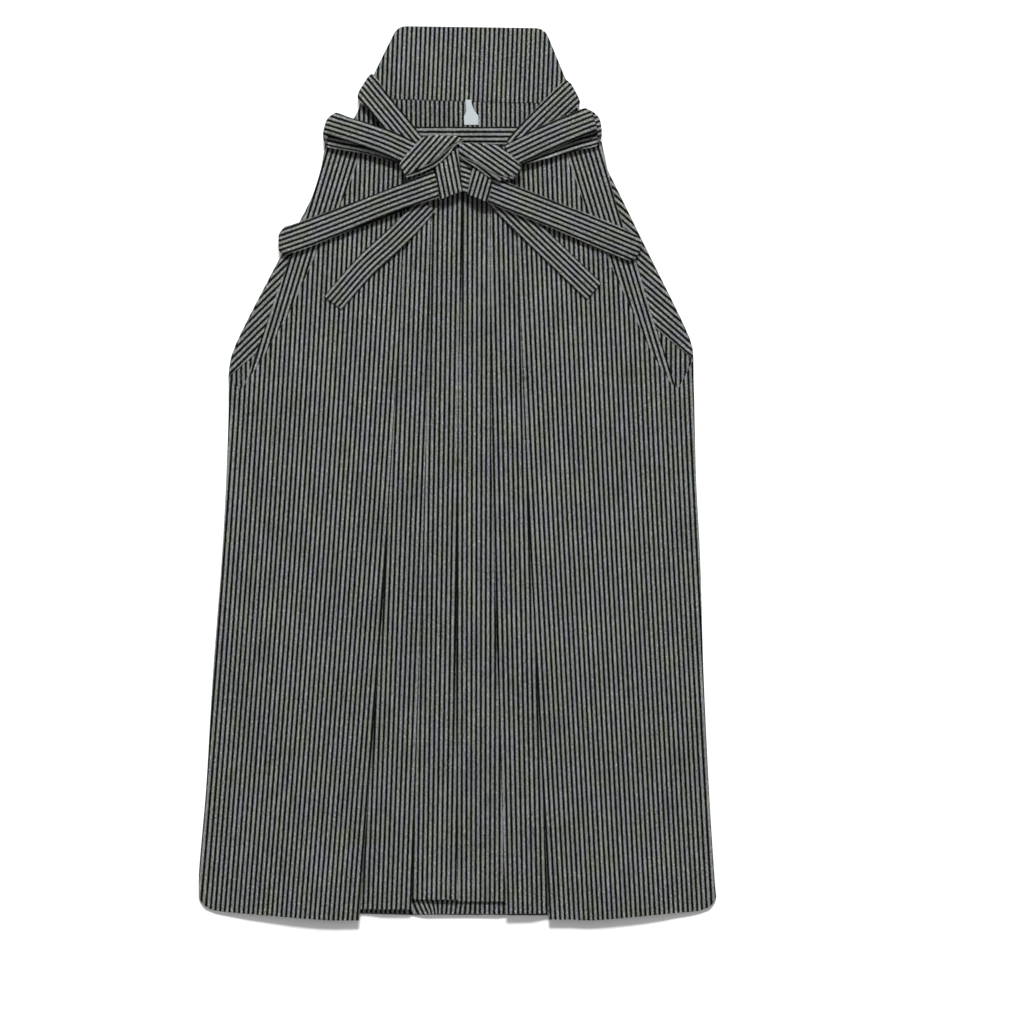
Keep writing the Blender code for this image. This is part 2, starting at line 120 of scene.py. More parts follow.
# Lines down the garment: distance towards the waist, then distance to the right, in millimetres.
PLEATS = {
    "left_outer": [(392, -59), (201, -67), (62, -74), (-148, -86.5), (-357, -102), (-521, -114)],
    "left_inner": [(392, -30), (201, -32), (-8, -38), (-287, -46), (-521, -54)],
    "middle": [(392, 7.5), (201, 4), (62, 0.8), (-287, -1.5), (-521, 0.6)],
    "right_inner": [(392, 40), (201, 38), (-8, 40), (-287, 48.5), (-521, 56.5)],
    "right_outer": [(392, 63), (201, 72.5), (-8, 80.5), (-287, 95), (-521, 106)],
}
BACK_EDGE = {
    "left": [(431, -112), (413, -119), (376, -142), (303, -177), (224, -219), (141, -260),
             (113, -266.5), (85, -266), (-8, -269), (-101, -274), (-241, -284.5), (-380, -292.5),
             (-485, -300.5), (-521, -301)],
    "right": [(431, 138), (405, 146), (350, 176), (266, 217), (183, 257.5), (155, 270), (141, 274),
              (99, 275), (-8, 277.6), (-101, 282.2), (-241, 286.2), (-380, 292.5), (-485, 298.5),
              (-521, 301)],
}
SIDE_FOLD_EDGE = {
    "left": [(392, -153), (350, -160), (286, -182), (225, -204), (172, -223), (101, -248.3)],
    "right": [(392, 166), (314, 184.5), (247, 208), (194, 222.7), (136, 242.5), (101, 253.5)],
}
FRONT_EDGE = {
    "left": [(392, -102), (371, -112.8), (326, -129.7), (263, -161), (191, -193.6), (129, -229.7),
             (101, -248.3)],
    "right": [(392, 119), (367, 128), (301, 152), (241, 178.5), (187, 204), (140, 226), (101, 250)],
}
# How far the wide outer panels' stripes lean towards the side, down from the waist.
STRIPE_LEAN = {
    "left": [(392, 3.0), (317, 0), (143, -9.1), (-31, -20.2), (-241, -35.4), (-438, -50.7),
             (-521, -57.2)],
    "right": [(392, -3.0), (317, 0), (143, 7.5), (-31, 15.5), (-241, 26.5), (-438, 37.0),
              (-521, 41.5)],
}
# Lean of the stripes on the narrow panels: sideways shift per length down the panel.
PANEL_LEAN = {"left_outer": 0.037, "left_inner": 0.016, "right_inner": 0.002,
              "right_outer": -0.022}
# Hems: distance to the right, then distance towards the waist, in millimetres.
HEM = [(-301, -493.5), (-299, -498), (-295, -502.5), (-289, -507), (-276, -510), (-226, -514),
       (-170, -518.5), (-142, -520), (-113, -517), (105, -517), (150, -520), (190, -517.5),
       (250, -512), (280, -509.5), (290, -506.5), (296, -502), (299.5, -497.5), (301, -493.5)]
BACK_HEM = [(-301, -493.5), (-299, -497.5), (-295, -501.5), (-289, -506), (-276, -509), (-226, -512),
            (-113, -513), (-55, -514.5), (10, -514), (67, -515), (110, -515), (250, -511),
            (280, -508.5), (290, -505.5), (296, -501), (299.5, -497), (301, -493.5)]
PANEL_HEM = {"left_outer": -507 * MM, "left_inner": -495.5 * MM, "right_inner": -498 * MM,
             "right_outer": -512 * MM}
BOARD = 4.2 * MM
BOARD_COVER = 0.5 * MM  # taken off the board's thickness, and given back by its crown
BOARD_GAP = 0.1 * MM
BOARD_EDGE = 1.3 * MM
BOARD_CROWN = (0.6 * MM, 25 * MM)  # its height, and how far in from the edge it is reached
BOARD_COLUMNS = 65
BOARD_ROWS = 19  # up each side, below the round corner
CORNER_ROWS = 9
BOARD_CORNER = 17 * MM
BOARD_LEAN = 2.3  # degrees that the board's stripes lean, their feet to the left
TIE_STRIPES = 1.03  # how much closer the stripes of the board and the ties are than the panels'
MIDDLE_STRIPE = 0.69  # place in the repeat, the middle of a light stripe, that a tie's middle has
EDGE_STRIPE = 0.75  # place in the repeat that the edge of a strip has
BOARD_TOP = [(101.5, 517.5), (-69.5, 520)]
BOARD_FOOT = [(-112, 433.5), (-78, 435), (12, 432.5), (95, 430.5), (137.5, 430.5)]

# Where the slit's lower edge starts at the side, and the notch that it runs down to, from above.
SLIT_TOP = {"left": (-265.8, 110.5), "right": (273.8, 131)}
NOTCH = {"left": (-252.4, 96.5), "right": (256.5, 97.5)}
SLIT_COLUMN = 5  # the front's column that runs up to the notch
SLIT_ROW = 34  # the front's row that lies along the slits

# How a section's points are spread, from 0 at the side edge to 1 at the hidden inner edge.
OUTER_SHARES = (0, 0.006, 0.015, 0.03, 0.05, 0.08, 0.12, 0.17, 0.23, 0.30, 0.37, 0.44, 0.51, 0.58,
                0.65, 0.72, 0.79, 0.86, 0.93, 1)
PANEL_SHARES = (0, 0.12, 0.25, 0.38, 0.5, 0.62, 0.75, 0.88, 1)
BACK_SHARES = (0, 0.006, 0.018, 0.035, 0.06, 0.1, 0.18, 0.28, 0.38, 0.48, 0.58, 0.68, 0.79, 0.9, 1)
FOLD_DEGREES = (-90, -60, -30, 0, 30, 60, 90)

# A flap of the back: where it starts and ends down the side, its inner corners and its stripes' lean.
Flap = namedtuple("Flap", "top foot inner_top inner_foot lean")
FLAPS = {
    "left": Flap(413, 112, (-101, 402), (-200, 170), 45.5),
    "right": Flap(372, 132, (128, 372), (205, 191), -49),
}
SIDE_FOLD_LEAN = 16.6  # degrees that a side fold's stripes lean

LEGS = {"left": ("left_outer", "left_inner", "middle"), "right": ("right_outer", "right_inner")}
NEIGHBOUR = {"left_outer": "left_inner", "left_inner": "middle", "middle": "left_inner",
             "right_inner": "middle", "right_outer": "right_inner"}

# A tie's finish that all of them share.
TIE_COLUMNS = 17
CROWN_POWER = 2.4
EDGE_THINNING = 0.5  # share of its thickness that a tie loses at its edges
RUN_ON = 80 * MM  # how far the line that the stripes follow runs on past each stretch
ROUND_ROWS = 16  # rows past the fold that the corners are drawn in towards
ROUND_REACH = 7 * MM
SINK_START = 14 * MM
SINK_REACH = 70 * MM
LIP_START = 8 * MM
LIP_ROUND = 0.97  # keeps the lip's quarter circle short of upright

# One point of a section across the cloth: its place, its layer, the hem below it and its stripe.
Point = namedtuple("Point", "x step hem grain")
# One row across a tie: its two edges from above, and the height of its middle, in millimetres.
Row = namedtuple("Row", "x1 y1 x2 y2 height")
# A crease along a tie: how far across it lies (0 to 1), its depth and its width, in metres.
Crease = namedtuple("Crease", "share depth width")
# How a tie piece is finished: its crown and creases, the row where it folds over, and for the
# straight turns of the knot the angle of its stripes, with a strip along its edge.
# Beside the fold, a lip is where the edge rolls down, a dent runs across the tie, and the run below
# sinks behind its front edge, so that what shows of it slopes in under the other one.
# The two corners of the fold are drawn in by the two sizes of round.
Finish = namedtuple("Finish", "crown creases fold angle strip lip dent sink round",
                    defaults=(None, None, None, None, None, 0.0, (5 * MM, 5 * MM)))
# A strip: how far across the tie it starts, and the share of its edge that its stripes follow.
Strip = namedtuple("Strip", "share reach")
# A lip: how far across the tie it starts (0 to 1), its drop and how far along the tie it fades out.
Lip = namedtuple("Lip", "share drop reach")
# A dent: its distance from the fold, its depth and its width.
Dent = namedtuple("Dent", "distance depth width")

TIES = {
    "back_tie_left": [
        Row(-85, 443, -100, 430, 6.0), Row(-96, 459, -113, 435, 6.0),
        Row(-100, 464.5, -118, 436, 7.1), Row(-95.5, 461, -115, 433, 8.3),
        Row(-83, 442.5, -104.5, 423, 9.8), Row(-64.5, 420, -87, 402, 11.4),
        Row(-46.5, 397.5, -68, 379.5, 12.0), Row(-41, 389, -60, 372, 12.2)],
    "back_tie_right": [
        Row(106, 437, 121, 423, 6.0), Row(121, 453, 138, 429, 6.0),
        Row(128, 457.5, 144, 428.5, 7.1), Row(122.5, 454, 140, 426, 8.3),
        Row(103, 435.5, 122, 410, 10.8), Row(74, 405.5, 93, 383, 12.0), Row(57, 386, 77, 366, 12.6)],
    "front_tie_loop_left": [
        Row(-60, 386, -66, 358, 14.7), Row(-100, 399, -104, 369.5, 12.7), Row(-136, 407, -143, 377, 8.0),
        Row(-147, 411, -155, 380, 7.4), Row(-150, 415, -157, 388, 10.4), Row(-143, 418, -153, 393, 14.2),
        Row(-123, 411.7, -135, 387.5, 16.6), Row(-77, 397, -93, 372, 17.5),
        Row(-46, 382, -62, 359, 17.5)],
    "front_tie_loop_right": [
        Row(72, 374, 76, 357, 15.2), Row(100, 388, 104, 365, 13.4), Row(136, 404, 140, 375, 9.4),
        Row(160, 413, 166, 382, 7.8), Row(164, 416, 168, 388, 11.2), Row(150, 423, 163, 397, 15.0),
        Row(134, 417.5, 147, 391, 17.0), Row(99, 403, 110, 375, 18.0),
        Row(55, 380, 66, 356, 18.0)],
    "front_tie_arm_left": [
        Row(-28, 348, -22, 322, 12.6), Row(-92, 324, -84, 296, 12.0), Row(-150, 302, -146, 273, 9.0),
        Row(-196, 285, -196, 256, 6.0), Row(-204, 283, -206, 255, 6.0), Row(-207, 282, -207.5, 254, 7.4),
        Row(-204, 285, -203, 253.5, 8.8), Row(-189, 289.5, -185, 258, 9.6),
        Row(-139, 307.5, -134, 277.5, 12.6), Row(-90, 325.5, -82, 299.5, 15.4),
        Row(-27.5, 351, -19, 320, 16.2)],
    "front_tie_arm_right": [
        Row(44, 334, 36, 316, 12.6), Row(118, 311, 108, 286, 12.0), Row(168, 290, 158, 262, 9.0),
        Row(208, 275, 196, 248, 6.0), Row(214, 273, 203, 245, 6.0), Row(216, 272, 205, 244.5, 7.4),
        Row(212, 274, 200, 246.5, 8.8), Row(184, 288, 171.5, 258, 10.2),
        Row(119, 313, 108.5, 284.5, 14.6), Row(80, 328.5, 70, 299.5, 15.7),
        Row(41, 343.5, 32, 315, 16.2)],
    "front_tie_tail_left": [
        Row(-155, 205.5, -134.5, 190, 8.9), Row(-117, 249.5, -97, 231.5, 9.7),
        Row(-84, 280, -63, 262.5, 10.2), Row(-44, 316, -25, 305.5, 10.3)],
    "front_tie_tail_right": [
        Row(167.5, 221, 149.5, 201.5, 8.9), Row(130, 257, 112, 237.5, 9.7),
        Row(92.5, 293, 74.5, 273.5, 10.2), Row(54, 331, 36, 311.5, 10.3)],
    "knot_wing_left": [
        Row(-67, 358, -59, 342, 19.6), Row(-56.5, 372, -42.5, 347.5, 20.4),
        Row(-46.5, 382, -27, 354.5, 21.2), Row(-41, 388.5, -17.5, 361.5, 21.3),
        Row(-32, 391, -9, 370, 21.4),
        Row(-16, 391, -3, 379, 20.2), Row(-0.6, 390.5, 7.5, 385.5, 18.4)],
    "knot_wing_right": [
        Row(2.5, 381.5, 1.5, 367.5, 19.8), Row(16, 382, 11, 360, 21.6), Row(30, 381.5, 20, 355, 22.4),
        Row(50, 379, 34, 344, 22.2), Row(63, 367, 48, 338.5, 21.6), Row(75, 355.5, 66, 341, 20.4)],
    "knot_middle_left": [
        Row(-15, 366, 1, 377, 16.7), Row(-25.2, 356.5, 2, 360, 18.1), Row(-23, 336, 4.5, 340, 19.0),
        Row(-20.8, 316.5, 6.2, 327, 18.2)],
    "knot_middle_right": [
        Row(17.5, 354, 40.5, 339.5, 18.8), Row(14.5, 338.5, 38.5, 325.5, 19.0),
        Row(12, 323.5, 34.8, 313.6, 18.2)],
    "knot_tuck": [
        Row(0, 375, 8, 371, 13.4), Row(2, 366, 16, 357, 14.6), Row(4, 350, 16, 342, 15.8),
        Row(5.5, 327, 13, 323, 15.9)],
}
TIE_FINISH = {
    "back_tie_left": Finish(0.5 * MM, [Crease(0.52, 0.3 * MM, 2.0 * MM)], fold=2,
                            round=(1 * MM, 5 * MM)),
    "back_tie_right": Finish(0.5 * MM, [Crease(0.48, 0.3 * MM, 2.0 * MM)], fold=2,
                             round=(2 * MM, 4 * MM)),
    "front_tie_loop_left": Finish(0.9 * MM, [], fold=4, lip=Lip(0.84, 2.4 * MM, 75 * MM),
                                  sink=4.5 * MM),
    "front_tie_loop_right": Finish(0.9 * MM, [Crease(0.7, 0.3 * MM, 2.0 * MM)], fold=4,
                                   lip=Lip(0.9, 1.6 * MM, 60 * MM), sink=4.5 * MM,
                                   dent=Dent(8.5 * MM, 2.8 * MM, 2.2 * MM)),
    "front_tie_arm_left": Finish(0.7 * MM, [Crease(0.62, 0.35 * MM, 2.2 * MM)], fold=5),
    "front_tie_arm_right": Finish(0.7 * MM, [Crease(0.4, 0.35 * MM, 2.2 * MM)], fold=5),
    "front_tie_tail_left": Finish(0.5 * MM, [Crease(0.5, 0.25 * MM, 2.0 * MM)]),
    "front_tie_tail_right": Finish(0.5 * MM, [Crease(0.5, 0.25 * MM, 2.0 * MM)]),
    "knot_wing_left": Finish(1.6 * MM, [Crease(0.86, 0.7 * MM, 1.0 * MM)], angle=48,
                             strip=Strip(0.87, 1.0)),
    "knot_wing_right": Finish(1.6 * MM, [Crease(0.86, 0.5 * MM, 1.2 * MM)], angle=-34.5,
                              strip=Strip(0.87, 0.55)),
    "knot_middle_left": Finish(1.2 * MM, [], angle=101),
    "knot_middle_right": Finish(1.2 * MM, [], angle=74),
    "knot_tuck": Finish(0.8 * MM, [], angle=-20),
}
LABEL_ROWS = [Row(9.2, 434, 16, 434, 5.4), Row(9.7, 428, 17, 428, 5.2),
              Row(10.2, 421, 20, 421, 4.8), Row(9.6, 418.5, 21.8, 418.5, 4.7),
              Row(7.9, 416, 23.8, 416, 4.6), Row(7.9, 405, 24.2, 405, 4.4)]

LABEL_COLUMNS = 7
LABEL_HALF = 0.25 * MM


class HakamaClothSettings(bpy.types.PropertyGroup):
    """Stripe and colours of the cloth"""

    repeat: FloatProperty(name="Stripe Repeat", description="Width of one repeat of the stripe",
                          default=5.5 * MM, min=1 * MM, max=30 * MM, unit="LENGTH")
    dark_share: FloatProperty(name="Dark Share", description="Share of the repeat that is dark",
                              default=0.38, min=0.1, max=0.8, subtype="FACTOR")
    check_share: FloatProperty(name="Check Share", description="Share of each checked column",
                               default=0.19, min=0.05, max=0.25, subtype="FACTOR")
    rung: FloatProperty(name="Rung Repeat", description="Distance from one ladder rung to the next",
                        default=0.93 * MM, min=0.2 * MM, max=5 * MM, unit="LENGTH")
    sway: FloatProperty(name="Sway", description="How far the stripes stray from side to side",
                        default=1.1 * MM, min=0.0, max=3 * MM, unit="LENGTH")
    dark: FloatVectorProperty(name="Dark", description="Ground of the dark column",
                              default=(0.0010, 0.0015, 0.0012), size=3, subtype="COLOR")
    rib: FloatVectorProperty(name="Rib", description="Ribs across the dark column",
                             default=(0.0040, 0.0062, 0.0050), size=3, subtype="COLOR")
    gold: FloatVectorProperty(name="Check Light", description="Light checks",
                              default=(0.099, 0.101, 0.081), size=3, subtype="COLOR")
    cream: FloatVectorProperty(name="Check Pale", description="Palest checks",
                               default=(0.215, 0.219, 0.197), size=3, subtype="COLOR")
    black: FloatVectorProperty(name="Black", description="Black checks and blocks",
                               default=(0.004, 0.006, 0.005), size=3, subtype="COLOR")
    white: FloatVectorProperty(name="White", description="Ladder rungs and edges",
                               default=(0.398, 0.406, 0.416), size=3, subtype="COLOR")
    green: FloatVectorProperty(name="Green Tint", description="Tint of the greener threads",
                               default=(0.989, 1.008, 0.904), size=3, subtype="COLOR",
                               max=2.0)
    lilac: FloatVectorProperty(name="Lilac Tint", description="Tint of the bluer threads",
                               default=(0.970, 0.964, 1.115), size=3, subtype="COLOR",
                               max=2.0)
    roughness: FloatProperty(name="Roughness", description="Roughness of the cloth",
                             default=0.72, min=0.1, max=1.0, subtype="FACTOR")
    label: FloatVectorProperty(name="Label", description="Colour of the plain label",
                               default=(0.37, 0.405, 0.42), size=3, subtype="COLOR")


class HakamaShapeSettings(bpy.types.PropertyGroup):
    """Thickness and softness of the pieces"""

    cloth_wall: FloatProperty(name="Cloth", description="Thickness of the trousers' cloth",
                              default=0.9 * MM, min=0.3 * MM, max=1.1 * MM, unit="LENGTH")
    tie_wall: FloatProperty(name="Tie", description="Thickness of a tie",
                            default=1.6 * MM, min=0.5 * MM, max=1.8 * MM, unit="LENGTH")
    ripple: FloatProperty(name="Ripple", description="Height of the soft waves in the front",
                          default=0.45 * MM, min=0.0, max=2 * MM, unit="LENGTH")
    side_roll: FloatProperty(name="Side Roll", description="Height of the soft roll at the sides",
                             default=1.5 * MM, min=0.0, max=4 * MM, unit="LENGTH")


class HakamaStageSettings(bpy.types.PropertyGroup):
    """Camera and light"""

    camera_height: FloatProperty(name="Camera Height", description="Height of the camera",
                                 default=4.0, min=1.0, max=10.0, unit="LENGTH")
    view_width: FloatProperty(name="View Width", description="Width of the floor in view",
                              default=1.191, min=0.5, max=3.0, unit="LENGTH")
    view_right: FloatProperty(name="View Right", description="Middle of the view, to the right",
                              default=0.0634, min=-1.0, max=1.0, unit="LENGTH")
    view_up: FloatProperty(name="View Up", description="Middle of the view, towards the waist",
                           default=-0.0454, min=-1.0, max=1.0, unit="LENGTH")
    key_power: FloatProperty(name="Key Light", description="Power of the main light, in watts",
                             default=930.0, min=0.0, max=5000.0)
    sky: FloatProperty(name="Sky", description="Strength of the even light from all round",
                       default=0.45, min=0.0, max=5.0)


def blend(a, b, share):
    return a + (b - a) * share


def ease(share):
    share = np.clip(share, 0.0, 1.0)
    return share * share * (3 - 2 * share)


def read(line, where):
    """Read a smooth curve through a table's points, given in millimetres, at a place in metres."""
    at = where / MM
    points = line if line[0][0] < line[-1][0] else line[::-1]
    at = min(max(at, points[0][0]), points[-1][0])
    index = 0
    while index < len(points) - 2 and at > points[index + 1][0]:
        index += 1
    (u0, v0), (u1, v1) = points[index], points[index + 1]
    span = u1 - u0
    before = after = (v1 - v0) / span
    if index > 0:
        ub, vb = points[index - 1]
        before = (v1 - vb) / (u1 - ub)
    if index < len(points) - 2:
        ua, va = points[index + 2]
        after = (va - v0) / (ua - u0)
    t = (at - u0) / span
    t2 = t * t
    t3 = t2 * t
    value = (2 * t3 - 3 * t2 + 1) * v0 + (t3 - 2 * t2 + t) * span * before
    value += (3 * t2 - 2 * t3) * v1 + (t3 - t2) * span * after
    return value * MM


def stations(first, last, count):
    return [blend(first, last, index / (count - 1)) for index in range(count)]


def front_side(side, y):
    """Where the front's own side lies: its fold above the slit, the side seam below."""
    return read(SIDE_FOLD_EDGE[side], y) if y > SLIT else read(BACK_EDGE[side], y)


def loft(x, y):
    """How far the front stands off the back at a place, besides its layers."""
    side = "left" if x < 0 else "right"
    share = min(abs(x / front_side(side, y)), 1.0)
    body = SWELL * (1 - share ** 3) * (1 - SWELL_CHANGE + SWELL_CHANGE * math.cos(y / SWELL_WAVE))
    hem = HEM_RISE * ease((HEM_RISE_START - y) / HEM_RISE_REACH) * (1 - share ** 6)
    wave = 0.25 * hem * math.sin(x / HEM_WAVE + 0.6)
    return body + hem + wave


def ripple(x, y):
    """Soft uneven waves of pressed cloth, from about -0.5 to 0.5."""
    wide = math.sin(x / WIDE_RIPPLE + 1.3 * math.sin(y / (160 * MM)))
    wide *= math.sin(y / (85 * MM) + x / (110 * MM))
    fine = math.sin(x / FINE_RIPPLE + y / (60 * MM) + 2.0 * math.sin(y / (230 * MM)))
    return 0.31 * (wide + 0.6 * fine)


def side_roll(distance, y):
    """Height of the soft roll beside the side edge, below the slit."""
    shape = bpy.context.scene.hakama_shape
    rise = (1 - math.exp(-distance / ROLL_START)) * math.exp(-(distance / ROLL_REACH) ** 2)
    return shape.side_roll * rise * ease((SLIT - y) / ROLL_FADE)


def layer(step, x, y):
    """Height of the middle of a layer of the front."""
    return step * PITCH + CLOTH / 2 + loft(x, y)


def clear_selection():
    for item in bpy.context.selected_objects:
        item.select_set(False)


def face_normals(grid):
    one = grid[1:, 1:] - grid[:-1, :-1]
    other = grid[:-1, 1:] - grid[1:, :-1]
    normals = np.cross(one, other)
    return normals / np.maximum(np.linalg.norm(normals, axis=2, keepdims=True), 1e-12)


SHARPEST_TURN = 0.6  # keeps the wall from spiking where its faces fold sharply


def grid_normals(grid):
    """Mean direction at each point of a grid, longer where the faces turn, to keep the wall even."""
    faces = face_normals(grid)
    rows, columns = grid.shape[:2]
    total = np.zeros_like(grid)
    for i in (0, 1):
        for j in (0, 1):
            total[i:rows - 1 + i, j:columns - 1 + j] += faces
    total /= np.maximum(np.linalg.norm(total, axis=2, keepdims=True), 1e-12)
    reach = np.ones((rows, columns))
    for i in (0, 1):
        for j in (0, 1):
            part = total[i:rows - 1 + i, j:columns - 1 + j]
            along = (part * faces).sum(axis=2)
            block = reach[i:rows - 1 + i, j:columns - 1 + j]
            np.minimum(block, along, out=block)
    return total / np.maximum(reach, SHARPEST_TURN)[:, :, None]


def shell(name, grid, grain, half, material, kept=None):
    """A thin closed wall around a grid of middle points, with its stripe map.

    kept says which of the grid's cells are there, all of them if it is None.
    """
    grid = np.asarray(grid, dtype=float)
    grain = np.asarray(grain, dtype=float)
    rows, columns = grid.shape[:2]
    half = np.broadcast_to(np.asarray(half, dtype=float), (rows, columns))
    shift = grid_normals(grid) * half[:, :, None]
    points = np.concatenate([(grid + shift).reshape(-1, 3), (grid - shift).reshape(-1, 3)])
    count = rows * columns
    index = np.arange(count).reshape(rows, columns)
    cells = np.stack([index[:-1, :-1], index[:-1, 1:], index[1:, 1:], index[1:, :-1]], axis=2)
    cells = cells.reshape(-1, 4) if kept is None else cells[kept]
    upper = cells[:, ::-1]
    edges = np.concatenate([upper[:, [k, (k + 1) % 4]] for k in range(4)])
    there = edges[:, 0] * count + edges[:, 1]
    back = edges[:, 1] * count + edges[:, 0]
    first, last = edges[~np.isin(there, back)].T
    rim = np.stack([last, first, first + count, last + count], axis=1)
    faces = np.concatenate([upper, cells + count, rim])
    used, faces = np.unique(faces, return_inverse=True)
    faces = faces.reshape(-1, 4)
    points = points[used]
    if signed_volume(points, faces) < 0:
        faces = faces[:, ::-1]
    mesh = bpy.data.meshes.new(name)
    mesh.from_pydata(points.tolist(), [], faces.tolist())
    mesh.update()
    threads = mesh.uv_layers.new(name=GRAIN)
    flat_grain = grain.reshape(-1, 2)[used % count]
    corner = np.empty(len(mesh.loops), dtype=np.int32)
    mesh.loops.foreach_get("vertex_index", corner)
    threads.data.foreach_set("uv", flat_grain[corner].ravel())
    mesh.shade_smooth()
    mesh.set_sharp_from_angle(angle=SHARP_EDGE)
    mesh.materials.append(material)
    piece = bpy.data.objects.new(name, mesh)
    bpy.context.collection.objects.link(piece)
    return piece


def signed_volume(points, faces):
    first, second = points[faces[:, 1]], points[faces[:, 2]]
    start, last = points[faces[:, 0]], points[faces[:, 3]]
    volume = (start * np.cross(first, second)).sum() + (start * np.cross(second, last)).sum()
    return volume / 6


def put_on(piece, node):
    """The piece stands for its solid."""
    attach(piece, "root")
    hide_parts(node)


def leaning_grain(x, y, degrees):
    """Stripe map of a flat piece whose stripes lean, their feet to the left when positive."""
    lean = math.radians(degrees)
    return (x * math.cos(lean) - y * math.sin(lean), x * math.sin(lean) + y * math.cos(lean))


class Nodes:
    """Short hand for adding and joining a material's nodes."""

    def __init__(self, material):
        material.use_nodes = True
        self.tree = material.node_tree
        self.shader = self.tree.nodes["Principled BSDF"]

    def add(self, kind, **settings):
        node = self.tree.nodes.new(kind)
        for key, value in settings.items():
            setattr(node, key, value)
        return node

    def link(self, output, socket):
        self.tree.links.new(output, socket)

    def math(self, operation, *values):
        node = self.add("ShaderNodeMath", operation=operation)
        for socket, value in zip(node.inputs, values):
            if isinstance(value, (int, float)):
                socket.default_value = value
            else:
                self.link(value, socket)
        return node.outputs[0]

    def mix(self, factor, first, second):
        node = self.add("ShaderNodeMix", data_type="RGBA")
        for index, value in ((0, factor), (6, first), (7, second)):
            socket = node.inputs[index]
            if isinstance(value, bpy.types.NodeSocket):
                self.link(value, socket)
            elif isinstance(value, (int, float)):
                socket.default_value = value
            else:
                socket.default_value = (*value, 1.0)
        return node.outputs[2]

    def noise(self, vector, scale, detail):
        """Uneven values round a half."""
        node = self.add("ShaderNodeTexNoise")
        node.inputs["Scale"].default_value = scale
        node.inputs["Detail"].default_value = detail
        self.link(vector, node.inputs["Vector"])
        return node.outputs[0]

    def stretched(self, vector, scale, location=(0.0, 0.0, 0.0)):
        node = self.add("ShaderNodeMapping")
        node.inputs["Scale"].default_value = scale
        node.inputs["Location"].default_value = location
        self.link(vector, node.inputs["Vector"])
        return node.outputs[0]

    def scaled(self, colour, value):
        node = self.add("ShaderNodeVectorMath", operation="SCALE")
        if isinstance(colour, bpy.types.NodeSocket):
            self.link(colour, node.inputs[0])
        else:
            node.inputs[0].default_value = colour
        self.link(value, node.inputs["Scale"])
        return node.outputs[0]


# Shares of one step along a column: a rib of the dark column, a light check and a ladder's rung.
RIB_SHARE = 0.4
LIGHT_SHARE = 0.55
RUNG_SHARE = 0.34
LADDER_RIM = 0.12  # width of the ladder's white rim, as a share of the checked columns' width
SWAY_SIZE = 4 * MM
# The threads' tone: the size of each unevenness and how much it counts, and the tone without them.
CLOUDS = 14.0  # a metre
CLOUDY = 0.40
STREAKS = (0.9, 22.0)  # across, for each repeat of the stripe, and along, a metre
STREAKY = 0.75
SPECKLE_SIZE = 2.2 * MM
SPECKLED = 1.20
# Glints: painted highlights, where the brightest spots of a fine noise are lifted in the cloth's colour.
GLINT_SIZE = 1.4 * MM
GLINT_START = 0.58
PAINTED_GLINTING = 6.0
BASE_TONE = -0.26
# The threads' tint: patches some stripes wide, where they start to turn lilac, and how sharply.
TINT_PATCHES = (0.22, 30.0)  # across, for each repeat of the stripe, and along, a metre
TINT_START = 0.34
TINT_SHARPNESS = 3.1
TINT_PLACE = (7.0, 3.0, 0.0)  # keeps the patches apart from the streaks
# Height of the light threads over the dark ground, as shares of the relief.
RIB_HEIGHT = 0.5
LADDER_HEIGHT = 0.6
THREAD_RELIEF = 0.1 * MM


def stripe_pattern(nodes, grain, look):
    """Colour and height of the stripe's columns."""
    split = nodes.add("ShaderNodeSeparateXYZ")
    nodes.link(grain, split.inputs[0])
    stray = nodes.math("SUBTRACT", nodes.noise(grain, 1 / SWAY_SIZE, 1.0), 0.5)
    across = nodes.math("ADD", split.outputs[0], nodes.math("MULTIPLY", stray, look.sway))
    along = split.outputs[1]
    phase = nodes.math("FRACT", nodes.math("DIVIDE", across, look.repeat))
    rung = nodes.math("FRACT", nodes.math("DIVIDE", along, look.rung))
    check = nodes.math("FRACT", nodes.math("DIVIDE", along, look.rung / 2))

    # How far a place is from the dark column: below 0 in it, 0 to 1 in the checks, more in the ladder.
    past_dark = nodes.math("SUBTRACT", phase, look.dark_share)
    before_dark = nodes.math("SUBTRACT", 1.0, phase)
    from_dark = nodes.math("DIVIDE", nodes.math("MINIMUM", past_dark, before_dark), look.check_share)
    in_dark = nodes.math("LESS_THAN", from_dark, 0.0)
    in_ladder = nodes.math("GREATER_THAN", from_dark, 1.0)
    inner = nodes.math("GREATER_THAN", from_dark, 0.5)

    rib = nodes.math("LESS_THAN", check, RIB_SHARE)
    dark = nodes.mix(rib, look.dark, look.rib)

    # The inner column of checks is half a step out with the outer one.
    shifted = nodes.math("FRACT", nodes.math("ADD", check, nodes.math("MULTIPLY", inner, 0.5)))
    is_light = nodes.math("LESS_THAN", shifted, LIGHT_SHARE)
    checked = nodes.mix(is_light, look.black, nodes.mix(inner, look.gold, look.cream))

    rim = nodes.math("LESS_THAN", from_dark, 1 + LADDER_RIM)
    is_rung = nodes.math("LESS_THAN", rung, RUNG_SHARE)
    laddered = nodes.mix(nodes.math("MAXIMUM", rim, is_rung), look.black, look.white)

    colour = nodes.mix(in_dark, nodes.mix(in_ladder, checked, laddered), dark)
    height = nodes.math("ADD", nodes.math("MULTIPLY", rib, RIB_HEIGHT),
                        nodes.math("MULTIPLY", in_ladder, LADDER_HEIGHT))
    return colour, height


